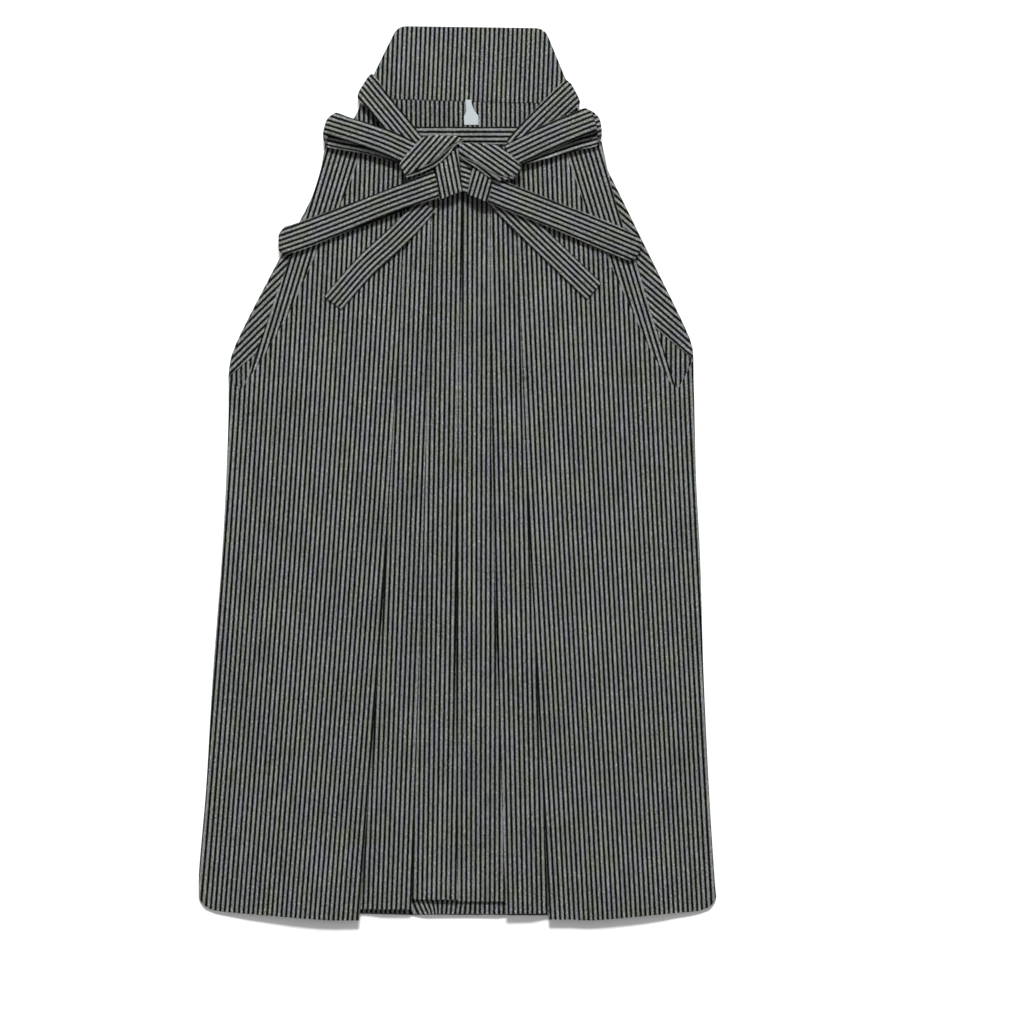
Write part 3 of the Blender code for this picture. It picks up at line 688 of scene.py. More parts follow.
def thread_tone(nodes, grain, look):
    """Lightness of the threads: large clouds, streaks along them, speckles and a few glints, which are
    highlights of single threads painted into the colour.
    """
    place = nodes.add("ShaderNodeTexCoord").outputs["Object"]
    across, along = STREAKS
    streak_map = nodes.stretched(grain, (1 / look.repeat * across, along, 1.0))
    # Painted highlights: past its start, the fine noise lifts the colour into small bright glints.
    glint = nodes.math("SUBTRACT", nodes.noise(grain, 1 / GLINT_SIZE, 0.0), GLINT_START)
    parts = [nodes.math("MULTIPLY", nodes.noise(place, CLOUDS, 3.0), CLOUDY),
             nodes.math("MULTIPLY", nodes.noise(streak_map, 1.0, 2.0), STREAKY),
             nodes.math("MULTIPLY", nodes.noise(grain, 1 / SPECKLE_SIZE, 1.0), SPECKLED),
             nodes.math("MULTIPLY", nodes.math("MAXIMUM", glint, 0.0), PAINTED_GLINTING)]
    tone = BASE_TONE
    for part in parts:
        tone = nodes.math("ADD", part, tone)
    return tone


def thread_tint(nodes, grain, look):
    """Colour cast of the threads, from green to lilac."""
    across, along = TINT_PATCHES
    tint_map = nodes.stretched(grain, (1 / look.repeat * across, along, 1.0), TINT_PLACE)
    bluer = nodes.math("SUBTRACT", nodes.noise(tint_map, 1.0, 4.0), TINT_START)
    return nodes.mix(nodes.math("MULTIPLY", bluer, TINT_SHARPNESS), look.green, look.lilac)


def striped_cloth():
    """Fine vertical stripe: a ribbed dark column between a ladder column and two checked ones."""
    found = bpy.data.materials.get("Striped cloth")
    if found:
        return found
    look = bpy.context.scene.hakama_cloth
    material = bpy.data.materials.new("Striped cloth")
    nodes = Nodes(material)
    grain = nodes.add("ShaderNodeUVMap", uv_map=GRAIN).outputs[0]
    colour, height = stripe_pattern(nodes, grain, look)
    tinted = nodes.add("ShaderNodeVectorMath", operation="MULTIPLY")
    nodes.link(colour, tinted.inputs[0])
    nodes.link(thread_tint(nodes, grain, look), tinted.inputs[1])
    varied = nodes.scaled(tinted.outputs[0], thread_tone(nodes, grain, look))
    nodes.link(varied, nodes.shader.inputs["Base Color"])
    nodes.shader.inputs["Roughness"].default_value = look.roughness
    nodes.shader.inputs["Specular IOR Level"].default_value = 0.02
    bump = nodes.add("ShaderNodeBump")
    bump.inputs["Strength"].default_value = 0.25
    bump.inputs["Distance"].default_value = THREAD_RELIEF
    nodes.link(height, bump.inputs["Height"])
    nodes.link(bump.outputs[0], nodes.shader.inputs["Normal"])
    return material


TAPE_RIB = math.pi * MM  # distance between the ribs of the label's weave
WAVE_RATE = 20  # radians that a wave texture turns in each unit, at a scale of 1


def label_cloth():
    """Plain white woven tape."""
    look = bpy.context.scene.hakama_cloth
    material = bpy.data.materials.new("Label cloth")
    nodes = Nodes(material)
    grain = nodes.add("ShaderNodeUVMap", uv_map=GRAIN).outputs[0]
    weave = nodes.add("ShaderNodeTexWave", wave_type="BANDS", bands_direction="Y")
    weave.inputs["Scale"].default_value = 2 * math.pi / TAPE_RIB / WAVE_RATE
    nodes.link(grain, weave.inputs["Vector"])
    shade = nodes.math("ADD", nodes.math("MULTIPLY", weave.outputs["Fac"], 0.05), 0.95)
    nodes.link(nodes.scaled(look.label, shade), nodes.shader.inputs["Base Color"])
    nodes.shader.inputs["Roughness"].default_value = 0.85
    return material


def turn(x, start, end, facing, hem, grain):
    """Points of a fold from one layer to another, its edge at x and facing left or right."""
    radius = PITCH / 2
    middle = x - facing * (radius + CLOTH / 2)
    points = []
    for degrees in FOLD_DEGREES:
        angle = math.radians(degrees)
        step = (start + end) / 2 + (end - start) / 2 * math.sin(angle)
        place = middle + facing * radius * math.cos(angle)
        points.append(Point(place, step, hem, grain(place)))
    return points


def pleat(name, y):
    """Where a pleat's edge lies and how deep it is folded."""
    edge = read(PLEATS[name], y)
    return edge, PLEAT_SHARE * abs(read(PLEATS[NEIGHBOUR[name]], y) - edge)


def outer_grain(side, y):
    lean = read(STRIPE_LEAN[side], y)
    return lambda x: x - lean


def panel_grain(name, y):
    lean = PANEL_LEAN[name] * (y - WAIST)
    return lambda x: x - lean


def outer_panel(side, outward, y):
    """The wide panel from the side to the first pleat."""
    on_slit = abs(y - SLIT) < MM / 2
    edge_line = BACK_EDGE[side] if y < SLIT or on_slit else FRONT_EDGE[side]
    edge = read(edge_line, y)
    fold, depth = pleat(LEGS[side][0], y)
    inner = fold + outward * (depth + PANEL_UNDER)
    edge_step = blend(LOW, TOP, ease((y - SLIT) / EDGE_DROP + EDGE_LEAD))
    grain = outer_grain(side, y)
    points = []
    slit_share = OUTER_SHARES[SLIT_COLUMN]
    for share in OUTER_SHARES:
        if y > SLIT and not on_slit:
            x = blend(edge, inner, max(share - slit_share, 0.0) / (1 - slit_share))
        else:
            x = blend(edge, inner, share)
        step = blend(edge_step, TOP, ease(share / EDGE_SHARE))
        points.append(Point(x, step, read(HEM, x), grain(x)))
    return points


def section(side, y):
    """The front of one leg at a station, from its side edge to its hidden inner edge."""
    outward = -1 if side == "left" else 1
    inward = -outward
    points = outer_panel(side, outward, y)
    grain = outer_grain(side, y)
    for index, name in enumerate(LEGS[side]):
        fold, depth = pleat(name, y)
        hem = points[-1].hem
        points += turn(fold, TOP, MIDDLE, inward, hem, grain)
        hidden = fold + outward * depth
        if name == "middle":
            points.append(Point(hidden, MIDDLE, hem, grain(hidden)))
            break
        hem = PANEL_HEM[name]
        grain = panel_grain(name, y)
        points += turn(hidden, MIDDLE, LOW, outward, hem, grain)
        low = fold + inward * MM / 2
        if name == "right_inner":
            middle, lap = pleat("middle", y)
            high, top = middle - LAP_SHARE * lap, LOW
        else:
            after, after_depth = pleat(LEGS[side][index + 1], y)
            high, top = after + outward * (after_depth + PANEL_FLAT), TOP
        for share in PANEL_SHARES:
            x = blend(low, high, share)
            points.append(Point(x, blend(LOW, top, ease(share)), hem, grain(x)))
    return points


def front_stations():
    """Stations down the front, close together at the slits and the hem."""
    above = stations(WAIST, SLIT + 4 * MM, SLIT_ROW)
    below = stations(SLIT, HEM_ROWS + 8 * MM, 60)
    return above + below + stations(HEM_ROWS, HEM_LINE, 7)


def front_grid(side):
    shape = bpy.context.scene.hakama_shape
    grid = []
    grain = []
    for y in front_stations():
        row = []
        threads = []
        points = section(side, y)
        for point in points:
            own_y = y if y > SLIT else blend(SLIT, point.hem, (SLIT - y) / (SLIT - HEM_LINE))
            height = layer(point.step, point.x, own_y)
            distance = abs(point.x - points[0].x)
            if point.step > MIDDLE or distance < 10 * MM:
                height += side_roll(distance, own_y)
            height += shape.ripple * ripple(point.x, own_y)
            row.append((point.x, own_y, height))
            threads.append((point.grain, own_y))
        if abs(y - SLIT) < MM / 2:
            top, notch = np.array(SLIT_TOP[side]) * MM, np.array(NOTCH[side]) * MM
            for column in range(SLIT_COLUMN + 1):
                share = OUTER_SHARES[column] / OUTER_SHARES[SLIT_COLUMN]
                x, own_y = blend(top, notch, share)
                row[column] = (x, own_y, row[column][2])
                threads[column] = (outer_grain(side, own_y)(x), own_y)
        grid.append(row)
        grain.append(threads)
    kept = np.ones((len(grid) - 1, len(grid[0]) - 1), dtype=bool)
    kept[:SLIT_ROW, :SLIT_COLUMN] = False
    return np.array(grid), np.array(grain), kept


def side_fold_grid(side):
    sign = -1 if side == "left" else 1
    lean = -sign * SIDE_FOLD_LEAN
    grid = []
    grain = []
    for y in stations(386 * MM, 100 * MM, 40):
        outer = read(SIDE_FOLD_EDGE[side], y)
        inner = read(FRONT_EDGE[side], y) - sign * SIDE_TUCK
        row = []
        for share in stations(0, 1, 12):
            x = blend(outer, inner, share)
            row.append((x, y, layer(MIDDLE, x, y)))
        grid.append(row)
        grain.append([leaning_grain(x, y, lean) for x, y, _ in row])
    return np.array(grid), np.array(grain)


def flap_grid(side):
    shape = FLAPS[side]
    inner_top = np.array(shape.inner_top) * MM
    inner_foot = np.array(shape.inner_foot) * MM
    count = 40
    grid = []
    grain = []
    for index, station in enumerate(stations(shape.top, shape.foot, count)):
        y = station * MM
        outer = np.array((read(BACK_EDGE[side], y), y))
        inner = blend(inner_top, inner_foot, index / (count - 1))
        row = []
        for share in stations(0, 1, 12):
            x, own_y = blend(outer, inner, share)
            height = LOW * PITCH + CLOTH / 2 + FLAP_LOFT * loft(x, own_y)
            row.append((x, own_y, height))
        grid.append(row)
        grain.append([leaning_grain(x, own_y, shape.lean) for x, own_y, _ in row])
    return np.array(grid), np.array(grain)


def back_section(side, y):
    """Places and layers across the back of one leg, from its side to its hidden inner edge."""
    middle = read(PLEATS["middle"], min(y, WAIST)) + BACK_SHIFT
    edge = read(BACK_EDGE[side], y)
    inner = middle + BACK_PLEAT if side == "right" else middle - BACK_RAMP
    flat = [(blend(edge, inner, share), ON_FLOOR) for share in BACK_SHARES]
    if side == "right":
        folded = turn(middle, ON_FLOOR, LOW, -1, 0.0, float)
        flat += [(point.x, point.step) for point in folded]
        flat.append((middle + BACK_PLEAT, LOW))
    else:
        for share in stations(0.12, 1, 6):
            flat.append((blend(inner, middle - 4 * MM, share), MIDDLE * ease(share)))
        flat.append((middle + BACK_PLEAT - 2 * MM, MIDDLE))
    return flat


def back_grid(side):
    grid = []
    grain = []
    for y in stations(BACK_TOP, HEM_LINE, 80):
        share = (BACK_TOP - y) / (BACK_TOP - HEM_LINE)
        row = []
        for x, step in back_section(side, y):
            own_y = blend(read(BOARD_FOOT, x) - GAP, read(BACK_HEM, x), share)
            height = step * PITCH + CLOTH / 2
            near_board = ease((own_y - BOARD_RISE[0]) / BOARD_RISE[1])
            near_board *= ease((BOARD_REACH[0] - abs(x)) / BOARD_REACH[1])
            height += max(0.0, BESIDE_BOARD - height) * near_board
            row.append((x, own_y, height))
        grid.append(row)
        grain.append([(x, own_y) for x, own_y, _ in row])
    return np.array(grid), np.array(grain)


def over_back_pleat(x):
    """The layer that clears the back and the pleat down its middle."""
    distance = abs(x - BACK_SHIFT)
    reach, slope = BACK_LAP_REACH
    return blend(LOW, TOP, ease((BACK_PLEAT + reach - distance) / slope))


def hem_turn_lean(x):
    """How the turned-up hem's stripes lean: more at its left end, a little back at the middle."""
    left = 0.45 * ease(1.2 - abs(x + 40 * MM) / (18 * MM))
    return left - 0.12 * ease(1 - abs(x) / (30 * MM))


def hem_turn_grid():
    """The back's hem, turned up over its inner face."""
    grid = []
    grain = []
    for depth in stations(HEM_TURN, 0.0, 8):
        row = []
        threads = []
        for x in stations(*HEM_TURN_ENDS, 60):
            y = read(BACK_HEM, x) + HEM_TURN_INSET + depth
            row.append((x, y, over_back_pleat(x) * PITCH + CLOTH / 2))
            threads.append((x + HEM_TURN_SHIFT + hem_turn_lean(x) * (y - HEM_TURN_LEVEL), y))
        grid.append(row)
        grain.append(threads)
    return np.array(grid), np.array(grain)


def smooth_rows(rows, count, straight=False):
    """Read a tie's two edges and its height between its rows, along curves or straight lines."""
    table = np.array(rows, dtype=float) * MM
    middle = np.column_stack([(table[:, 0] + table[:, 2]) / 2, (table[:, 1] + table[:, 3]) / 2,
                              table[:, 4]])
    steps = np.linalg.norm(np.diff(middle, axis=0), axis=1)
    knots = np.concatenate([[0], np.cumsum(steps if straight else np.sqrt(steps))])
    where = np.linspace(0, knots[-1], count)
    slopes = np.zeros_like(table)
    spans = np.diff(knots)
    secants = np.diff(table, axis=0) / spans[:, None]
    slopes[0], slopes[-1] = secants[0], secants[-1]
    weights = spans[1:] / (spans[:-1] + spans[1:])
    slopes[1:-1] = secants[:-1] * weights[:, None] + secants[1:] * (1 - weights[:, None])
    index = np.clip(np.searchsorted(knots, where, side="right") - 1, 0, len(spans) - 1)
    t = ((where - knots[index]) / spans[index])[:, None]
    span = spans[index][:, None]
    value = (2 * t ** 3 - 3 * t ** 2 + 1) * table[index]
    value += (t ** 3 - 2 * t ** 2 + t) * span * slopes[index]
    value += (3 * t ** 2 - 2 * t ** 3) * table[index + 1]
    value += (t ** 3 - t ** 2) * span * slopes[index + 1]
    if straight:
        for column in range(4):
            value[:, column] = np.interp(where, knots, table[:, column])
    return value, knots / knots[-1] * (count - 1)


def along_line(line, points):
    """How far points lie from a line seen from above, and how far along it."""
    start, step = line[:-1], np.diff(line, axis=0)
    length = np.linalg.norm(step, axis=1)
    way = step / length[:, None]
    offset = points[:, None, :] - start[None, :, :]
    along = (offset * way[None, :, :]).sum(axis=2)
    side = offset[:, :, 0] * way[None, :, 1] - offset[:, :, 1] * way[None, :, 0]
    inside = np.clip(along, 0, length[None, :])
    distance = np.hypot(side, along - inside)
    nearest = distance.argmin(axis=1)
    pick = np.arange(len(points))
    before = np.concatenate([[0], np.cumsum(length)[:-1]])
    return np.column_stack([side[pick, nearest], before[nearest] + along[pick, nearest]])


def straight_grain(points, degrees):
    """Stripe map of points whose stripes all run at an angle."""
    angle = math.radians(degrees)
    way = np.array([math.cos(angle), math.sin(angle)])
    centre = points.mean(axis=0)
    return along_line(np.array([centre - way, centre + way]), points)


def stretch_line(middle):
    """The middle of a stretch, run on past its two ends."""
    ends = []
    for end, inner in ((middle[0], middle[4]), (middle[-1], middle[-5])):
        ends.append([end + (end - inner) / np.linalg.norm(end - inner) * RUN_ON])
    return np.concatenate([ends[0], middle, ends[1]])


def tie_grain(grid, finish, places):
    """Stripe map of a tie: its stripes follow the middle of the stretch that they lie on."""
    flat = grid[:, :, :2]
    count, columns = flat.shape[:2]
    if finish.angle is not None:
        return straight_grain(flat.reshape(-1, 2), finish.angle).reshape(count, columns, 2)
    fold = 0
    stretches = [(0, count, 0, count)]
    if finish.fold is not None:
        before, fold, after = (int(round(places[finish.fold + step])) for step in (-1, 0, 2))
        stretches = [(0, fold, 0, before + 1), (fold, count, after, count)]
    middle = flat[:, columns // 2]
    grain = np.empty((count, columns, 2))
    for first, last, from_row, to_row in stretches:
        line = stretch_line(middle[from_row:to_row])
        part = flat[first:last].reshape(-1, 2)
        grain[first:last] = along_line(line, part).reshape(last - first, columns, 2)
    grain[:fold, :, 0] *= -1
    steps = np.diff(grid[:, columns // 2], axis=0)
    climb = np.linalg.norm(steps, axis=1) - np.linalg.norm(steps[:, :2], axis=1)
    grain[:, :, 1] += np.concatenate([[0], np.cumsum(climb)])[:, None]
    return grain


def round_end(grid, fold, sizes):
    """Draw the corners in where a tie folds back over itself."""
    count, columns = grid.shape[:2]
    row = int(round(fold))
    middle = grid[:, columns // 2, :2]
    distance = np.linalg.norm(middle - middle[row], axis=1)
    inward = middle[min(row + ROUND_ROWS, count - 1)] - middle[row]
    inward /= np.linalg.norm(inward)
    across = np.linspace(-1, 1, columns)
    pull = np.abs(across) ** 5 * np.where(across < 0, *sizes)
    near = np.exp(-(distance / ROUND_REACH) ** 2)
    grid[:, :, :2] += near[:, None, None] * pull[None, :, None] * inward


def ribbon(rows, columns):
    """The two edges of a strip from its rows, and the grid of points between them."""
    one = np.column_stack([rows[:, 0], rows[:, 1], rows[:, 4]])
    other = np.column_stack([rows[:, 2], rows[:, 3], rows[:, 4]])
    share = np.linspace(0, 1, columns)[None, :, None]
    return one, other, one[:, None, :] * (1 - share) + other[:, None, :] * share


def strip_grain(grain, grid, other, finish, repeat):
    """Let the stripes of a strip follow the edge of the tie that it lies along."""
    count, columns = grid.shape[:2]
    folded = np.linspace(0, 1, columns) > finish.strip.share
    edge = other[:round(finish.strip.reach * count), :2]
    turned = along_line(edge, grid[:, :, :2].reshape(-1, 2)).reshape(count, columns, 2)
    grain[:, folded] = turned[:, folded]
    grain[:, folded, 0] = EDGE_STRIPE * repeat - np.abs(turned[:, folded, 0])


def fold_relief(grid, fold, finish):
    """Height beside the fold: the lip, the sunken lower run and the dent, and the rows past the dent."""
    count, columns = grid.shape[:2]
    share = np.linspace(0, 1, columns)
    from_fold = np.linalg.norm(grid[:, :, :2] - grid[fold, :, :2], axis=2)
    on_top = (np.arange(count) >= fold)[:, None]
    under = ~on_top * ease(from_fold / SINK_START) * np.exp(-(from_fold / SINK_REACH) ** 2)
    relief = finish.sink * under * (2 - 2 * share).clip(0, 1)[None, :]
    past_dent = np.zeros((count, columns), dtype=bool)
    if finish.lip:
        fade = ease(from_fold / LIP_START) * np.exp(-(from_fold / finish.lip.reach) ** 2)
        past = ((share - finish.lip.share) / (1 - finish.lip.share)).clip(0) * LIP_ROUND
        relief -= fade * (finish.lip.drop * (1 - np.sqrt(1 - past ** 2)))[None, :]
    if finish.dent:
        distance = (from_fold - finish.dent.distance) / finish.dent.width
        relief -= on_top * finish.dent.depth * np.exp(-distance ** 2)
        past_dent = on_top & (from_fold < finish.dent.distance)
    return relief, past_dent


def upward(one, other):
    """The direction off a tie's face, row by row."""
    up = np.cross(other - one, np.gradient((one + other) / 2, axis=0))
    up /= np.linalg.norm(up, axis=1, keepdims=True)
    return -up if up[-1, 2] < 0 else up


def tie_grid(name, count):
    """A tie's middle surface with its crown and creases, its stripe map and its half thickness."""
    finish = TIE_FINISH[name]
    repeat = bpy.context.scene.hakama_cloth.repeat
    rows, places = smooth_rows(TIES[name], count, straight=finish.angle is not None)
    one, other, grid = ribbon(rows, TIE_COLUMNS)
    if finish.fold is not None:
        round_end(grid, places[finish.fold], finish.round)
    grain = tie_grain(grid, finish, places)
    if finish.strip:
        strip_grain(grain, grid, other, finish, repeat)
    share = np.linspace(0, 1, TIE_COLUMNS)
    place = np.abs(2 * share - 1)
    relief = finish.crown * (1 - place ** CROWN_POWER)[None, :] * np.ones((count, 1))
    width = np.linalg.norm(other - one, axis=1)
    for crease in finish.creases:
        distance = (share[None, :] - crease.share) * width[:, None]
        relief -= crease.depth * np.exp(-(distance / crease.width) ** 2)
    if finish.fold is not None:
        height, past_dent = fold_relief(grid, int(round(places[finish.fold])), finish)
        relief += height
        grain[:, :, 0] += past_dent * repeat / 2
    grain[:, :, 0] *= TIE_STRIPES
    if finish.angle is None:
        grain[:, :, 0] += MIDDLE_STRIPE * repeat
    grid = grid + upward(one, other)[:, None, :] * (relief - finish.crown / 2)[:, :, None]
    wall = bpy.context.scene.hakama_shape.tie_wall
    half = wall / 2 * (1 - EDGE_THINNING * place ** 8)
    return grid, grain, np.broadcast_to(half[None, :], (count, TIE_COLUMNS))


class HAKAMA_OT_add_back(bpy.types.Operator):
    """Add the back of both legs and its turned-up hem"""

    bl_idname = "hakama.add_back"
    bl_label = "Add Back"

    def execute(self, context):
        clear_selection()
        wall = context.scene.hakama_shape.cloth_wall
        for side in ("left", "right"):
            grid, grain = back_grid(side)
            piece = shell(f"Back_{side}_cloth", grid, grain, CLOTH / 2, striped_cloth())
            put_on(piece, f"back_{side}")
        grid, grain = hem_turn_grid()
        piece = shell("Back_hem_turned_up", grid, grain, wall / 2, striped_cloth())
        put_on(piece, "back_hem_turn")
        return {"FINISHED"}


class HAKAMA_OT_add_back_flaps(bpy.types.Operator):
    """Add the sides of the back, folded in above the slits"""

    bl_idname = "hakama.add_back_flaps"
    bl_label = "Add Back Flaps"

    def execute(self, context):
        clear_selection()
        wall = context.scene.hakama_shape.cloth_wall
        for side in ("left", "right"):
            grid, grain = flap_grid(side)
            piece = shell(f"Back_flap_{side}_cloth", grid, grain, wall / 2, striped_cloth())
            put_on(piece, f"back_flap_{side}")
        return {"FINISHED"}


class HAKAMA_OT_add_front(bpy.types.Operator):
    """Add the pleated front of both legs, with the side folds above the slits"""

    bl_idname = "hakama.add_front"
    bl_label = "Add Front"

    def execute(self, context):
        clear_selection()
        wall = context.scene.hakama_shape.cloth_wall
        for side in ("left", "right"):
            grid, grain = side_fold_grid(side)
            piece = shell(f"Front_side_fold_{side}_cloth", grid, grain, wall / 2, striped_cloth())
            put_on(piece, f"front_side_fold_{side}")
            grid, grain, kept = front_grid(side)
            piece = shell(f"Front_{side}_pleated_cloth", grid, grain, wall / 2, striped_cloth(), kept)
            put_on(piece, f"front_{side}")
        return {"FINISHED"}


class HAKAMA_OT_add_band(bpy.types.Operator):
    """Add the waistband across the top of the front"""

    bl_idname = "hakama.add_band"
    bl_label = "Add Front Band"

    def execute(self, context):
        clear_selection()
        grid = []
        grain = []
        for y in stations(BAND_TOP, BAND_TOP - BAND_HEIGHT, 13):
            row = []
            for x in stations(*BAND_ENDS, 60):
                top = layer(TOP, x, y) + CLOTH / 2
                across = (BAND_TOP - y) / BAND_HEIGHT * 2 - 1
                crown = BAND_CROWN * (1 - across ** 4)
                row.append((x, y, top + GAP + BAND_HALF + crown))
            grid.append(row)
            grain.append([(y + BAND_SHIFT, x) for x, y, _ in row])
        grid = np.array(grid)
        piece = shell("Front_waistband", grid, np.array(grain), BAND_HALF, striped_cloth())
        put_on(piece, "front_band")
        return {"FINISHED"}


def add_tie(name, title, count):
    grid, grain, half = tie_grid(name, count)
    piece = shell(title, grid, grain, half, striped_cloth())
    put_on(piece, name)


class HAKAMA_OT_add_back_ties(bpy.types.Operator):
    """Add the two ties that come from the board's lower corners"""

    bl_idname = "hakama.add_back_ties"
    bl_label = "Add Back Ties"

    def execute(self, context):
        clear_selection()
        for side in ("left", "right"):
            add_tie(f"back_tie_{side}", f"Back_tie_{side}", 60)
        return {"FINISHED"}


class HAKAMA_OT_add_bow(bpy.types.Operator):
    """Add the loops, arms and tails of the front ties"""

    bl_idname = "hakama.add_bow"
    bl_label = "Add Bow"

    def execute(self, context):
        clear_selection()
        for side in ("left", "right"):
            add_tie(f"front_tie_tail_{side}", f"Front_tie_tail_{side}", 60)
            add_tie(f"front_tie_arm_{side}", f"Front_tie_arm_{side}", 110)
            add_tie(f"front_tie_loop_{side}", f"Front_tie_loop_{side}", 90)
        return {"FINISHED"}


class HAKAMA_OT_add_knot(bpy.types.Operator):
    """Add the turns of the knot in the middle of the bow"""

    bl_idname = "hakama.add_knot"
    bl_label = "Add Knot"

    def execute(self, context):
        clear_selection()
        for part in ("tuck", "middle_left", "middle_right", "wing_left", "wing_right"):
            add_tie(f"knot_{part}", f"Knot_{part}", 50)
        return {"FINISHED"}


def board_sides(count):
    """Pairs of points up the board's two sides and round its upper corners."""
    right_top, left_top = [np.array(corner) * MM for corner in BOARD_TOP]
    chains = []
    sides = ((BOARD_FOOT[0], left_top, right_top), (BOARD_FOOT[-1], right_top, left_top))
    for foot, corner, other in sides:
        foot = np.array(foot) * MM
        down = (foot - corner) / np.linalg.norm(foot - corner)
        across = (other - corner) / np.linalg.norm(other - corner)
        half = math.acos(float(down @ across)) / 2
        reach = BOARD_CORNER / math.tan(half)
        start = corner + down * reach
        end = corner + across * reach
        side = [blend(foot, start, share) for share in stations(0, 1, count)]
        for step in stations(0, 1, CORNER_ROWS)[1:]:
            one = blend(start, corner, step)
            two = blend(corner, end, step)
            side.append(blend(one, two, step))
        chains.append(side)
    return chains


class HAKAMA_OT_add_board(bpy.types.Operator):
    """Add the stiff covered board at the top of the back"""

    bl_idname = "hakama.add_board"
    bl_label = "Add Back Board"

    def execute(self, context):
        clear_selection()
        left, right = board_sides(BOARD_ROWS)
        rows = len(left)
        bpy.ops.mesh.primitive_grid_add(x_subdivisions=BOARD_COLUMNS - 1, y_subdivisions=rows - 1,
                                        size=2.0)
        piece = context.active_object
        piece.name = "Back_board_covered"
        for vertex in piece.data.vertices:
            across = (vertex.co.x + 1) / 2
            row = round((vertex.co.y + 1) / 2 * (rows - 1))
            x, y = blend(left[row], right[row], across)
            foot = blend(BOARD_FOOT[0][1], BOARD_FOOT[-1][1], across) * MM
            y += (read(BOARD_FOOT, x) - foot) * (1 - row / (rows - 1))
            vertex.co = (x, y, BOARD_GAP)
        wall = piece.modifiers.new("Board and cover", "SOLIDIFY")
        wall.thickness = BOARD - BOARD_COVER
        wall.offset = 1.0
        edge = piece.modifiers.new("Soft edge", "BEVEL")
        edge.width = BOARD_EDGE
        edge.segments = 3
        edge.limit_method = "ANGLE"
        edge.angle_limit = SHARP_EDGE
        for name in (wall.name, edge.name):
            bpy.ops.object.modifier_apply(modifier=name)
        mesh = piece.data
        outline = np.array(left + right[::-1])
        crown, reach = BOARD_CROWN
        for vertex in mesh.vertices:
            if vertex.co.z > BOARD / 2:
                place = np.array(vertex.co[:2])
                distance = float(np.linalg.norm(outline - place, axis=1).min())
                vertex.co.z += crown * ease(distance / reach)
        grain = mesh.uv_layers.get(GRAIN) or mesh.uv_layers.new(name=GRAIN)
        for loop in mesh.loops:
            x, y, _ = mesh.vertices[loop.vertex_index].co
            across, along = leaning_grain(x, y, BOARD_LEAN)
            grain.data[loop.index].uv = (across * TIE_STRIPES, along)
        mesh.uv_layers.active = grain
        mesh.shade_smooth()
        mesh.set_sharp_from_angle(angle=math.radians(60))
        mesh.materials.clear()
        mesh.materials.append(striped_cloth())
        put_on(piece, "back_board")
        return {"FINISHED"}


class HAKAMA_OT_add_label(bpy.types.Operator):
    """Add the plain sewn-in label below the board"""

    bl_idname = "hakama.add_label"
    bl_label = "Add Label"

    def execute(self, context):
        clear_selection()
        rows, _ = smooth_rows(LABEL_ROWS, 30)
        grid = ribbon(rows, LABEL_COLUMNS)[2]
        piece = shell("Label_plain", grid, grid[:, :, :2], LABEL_HALF, label_cloth())
        put_on(piece, "label")
        return {"FINISHED"}


# The stage, in metres: its floor, just below the cloth, and its light behind the waist.
FLOOR_SIZE = 8.0
FLOOR_GAP = 0.3 * MM
KEY_PLACE = (0.1, 5.7, 5.2)
KEY_SIZE = (2.4, 1.5)
KEY_TARGET = (0, 0.1, 0)
SENSOR = 36.0  # width of the camera's sensor, in millimetres
VIEW_LEVEL = 5 * MM  # height at which the view is as wide as the settings say


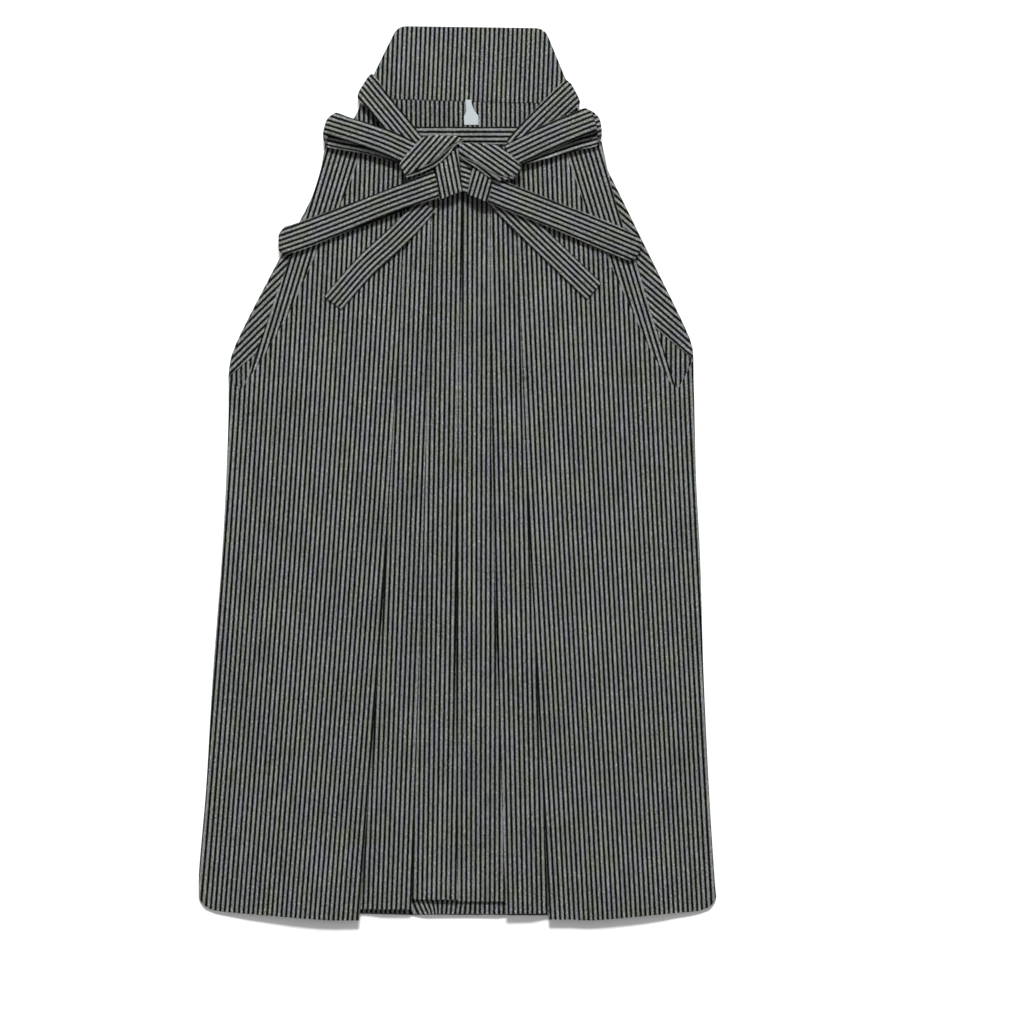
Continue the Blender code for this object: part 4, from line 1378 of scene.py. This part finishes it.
class HAKAMA_OT_add_stage(bpy.types.Operator):
    """Add the pale floor, the soft light and the camera straight above"""

    bl_idname = "hakama.add_stage"
    bl_label = "Add Stage"

    def execute(self, context):
        clear_selection()
        stage = context.scene.hakama_stage
        bpy.ops.mesh.primitive_plane_add(size=FLOOR_SIZE, location=(0, 0, -FLOOR_GAP))
        floor = context.active_object
        floor.name = "stage_floor"
        paper = bpy.data.materials.new("Stage paper")
        paper.use_nodes = True
        shader = paper.node_tree.nodes["Principled BSDF"]
        shader.inputs["Base Color"].default_value = (0.92, 0.92, 0.92, 1.0)
        shader.inputs["Roughness"].default_value = 0.9
        shader.inputs["Specular IOR Level"].default_value = 0.1
        floor.data.materials.append(paper)

        bpy.ops.object.light_add(type="AREA", location=KEY_PLACE)
        key = context.active_object
        key.name = "stage_key_light"
        key.data.shape = "RECTANGLE"
        key.data.size, key.data.size_y = KEY_SIZE
        key.data.energy = stage.key_power
        key.rotation_euler = (Vector(KEY_TARGET) - key.location).to_track_quat("-Z", "Y").to_euler()

        world = context.scene.world or bpy.data.worlds.new("Stage sky")
        context.scene.world = world
        world.use_nodes = True
        sky = world.node_tree.nodes["Background"]
        sky.inputs["Color"].default_value = (1.0, 1.0, 1.0, 1.0)
        sky.inputs["Strength"].default_value = stage.sky

        bpy.ops.object.camera_add(location=(stage.view_right, stage.view_up, stage.camera_height))
        camera = context.active_object
        camera.name = "stage_camera"
        camera.rotation_euler = (0.0, 0.0, 0.0)
        camera.data.sensor_fit = "HORIZONTAL"
        camera.data.sensor_width = SENSOR
        camera.data.lens = SENSOR * (stage.camera_height - VIEW_LEVEL) / stage.view_width
        camera.data.clip_end = 50.0
        context.scene.camera = camera
        context.scene.view_settings.view_transform = "Standard"
        return {"FINISHED"}


STEPS = ("add_back", "add_back_flaps", "add_front", "add_band", "add_board", "add_back_ties", "add_bow",
         "add_knot", "add_label", "add_stage")


class HAKAMA_PT_panel(bpy.types.Panel):
    """Pieces and settings of the laid hakama"""

    bl_idname = "HAKAMA_PT_panel"
    bl_label = "Laid Hakama"
    bl_space_type = "VIEW_3D"
    bl_region_type = "UI"
    bl_category = "Hakama"

    def draw(self, context):
        layout = self.layout
        for step in STEPS:
            layout.operator(f"hakama.{step}")
        scene = context.scene
        for group in (scene.hakama_cloth, scene.hakama_shape, scene.hakama_stage):
            box = layout.box()
            for name in group.__annotations__:
                box.prop(group, name)


CLASSES = (HakamaClothSettings, HakamaShapeSettings, HakamaStageSettings, HAKAMA_OT_add_back,
           HAKAMA_OT_add_back_flaps, HAKAMA_OT_add_front, HAKAMA_OT_add_band, HAKAMA_OT_add_board,
           HAKAMA_OT_add_back_ties, HAKAMA_OT_add_bow, HAKAMA_OT_add_knot, HAKAMA_OT_add_label,
           HAKAMA_OT_add_stage, HAKAMA_PT_panel)


def register():
    for kind in CLASSES:
        bpy.utils.register_class(kind)
    bpy.types.Scene.hakama_cloth = PointerProperty(type=HakamaClothSettings)
    bpy.types.Scene.hakama_shape = PointerProperty(type=HakamaShapeSettings)
    bpy.types.Scene.hakama_stage = PointerProperty(type=HakamaStageSettings)


def unregister():
    del bpy.types.Scene.hakama_cloth
    del bpy.types.Scene.hakama_shape
    del bpy.types.Scene.hakama_stage
    for kind in reversed(CLASSES):
        bpy.utils.unregister_class(kind)


def main():
    register()
    for step in STEPS:
        getattr(bpy.ops.hakama, step)()


if __name__ == "__main__":
    main()
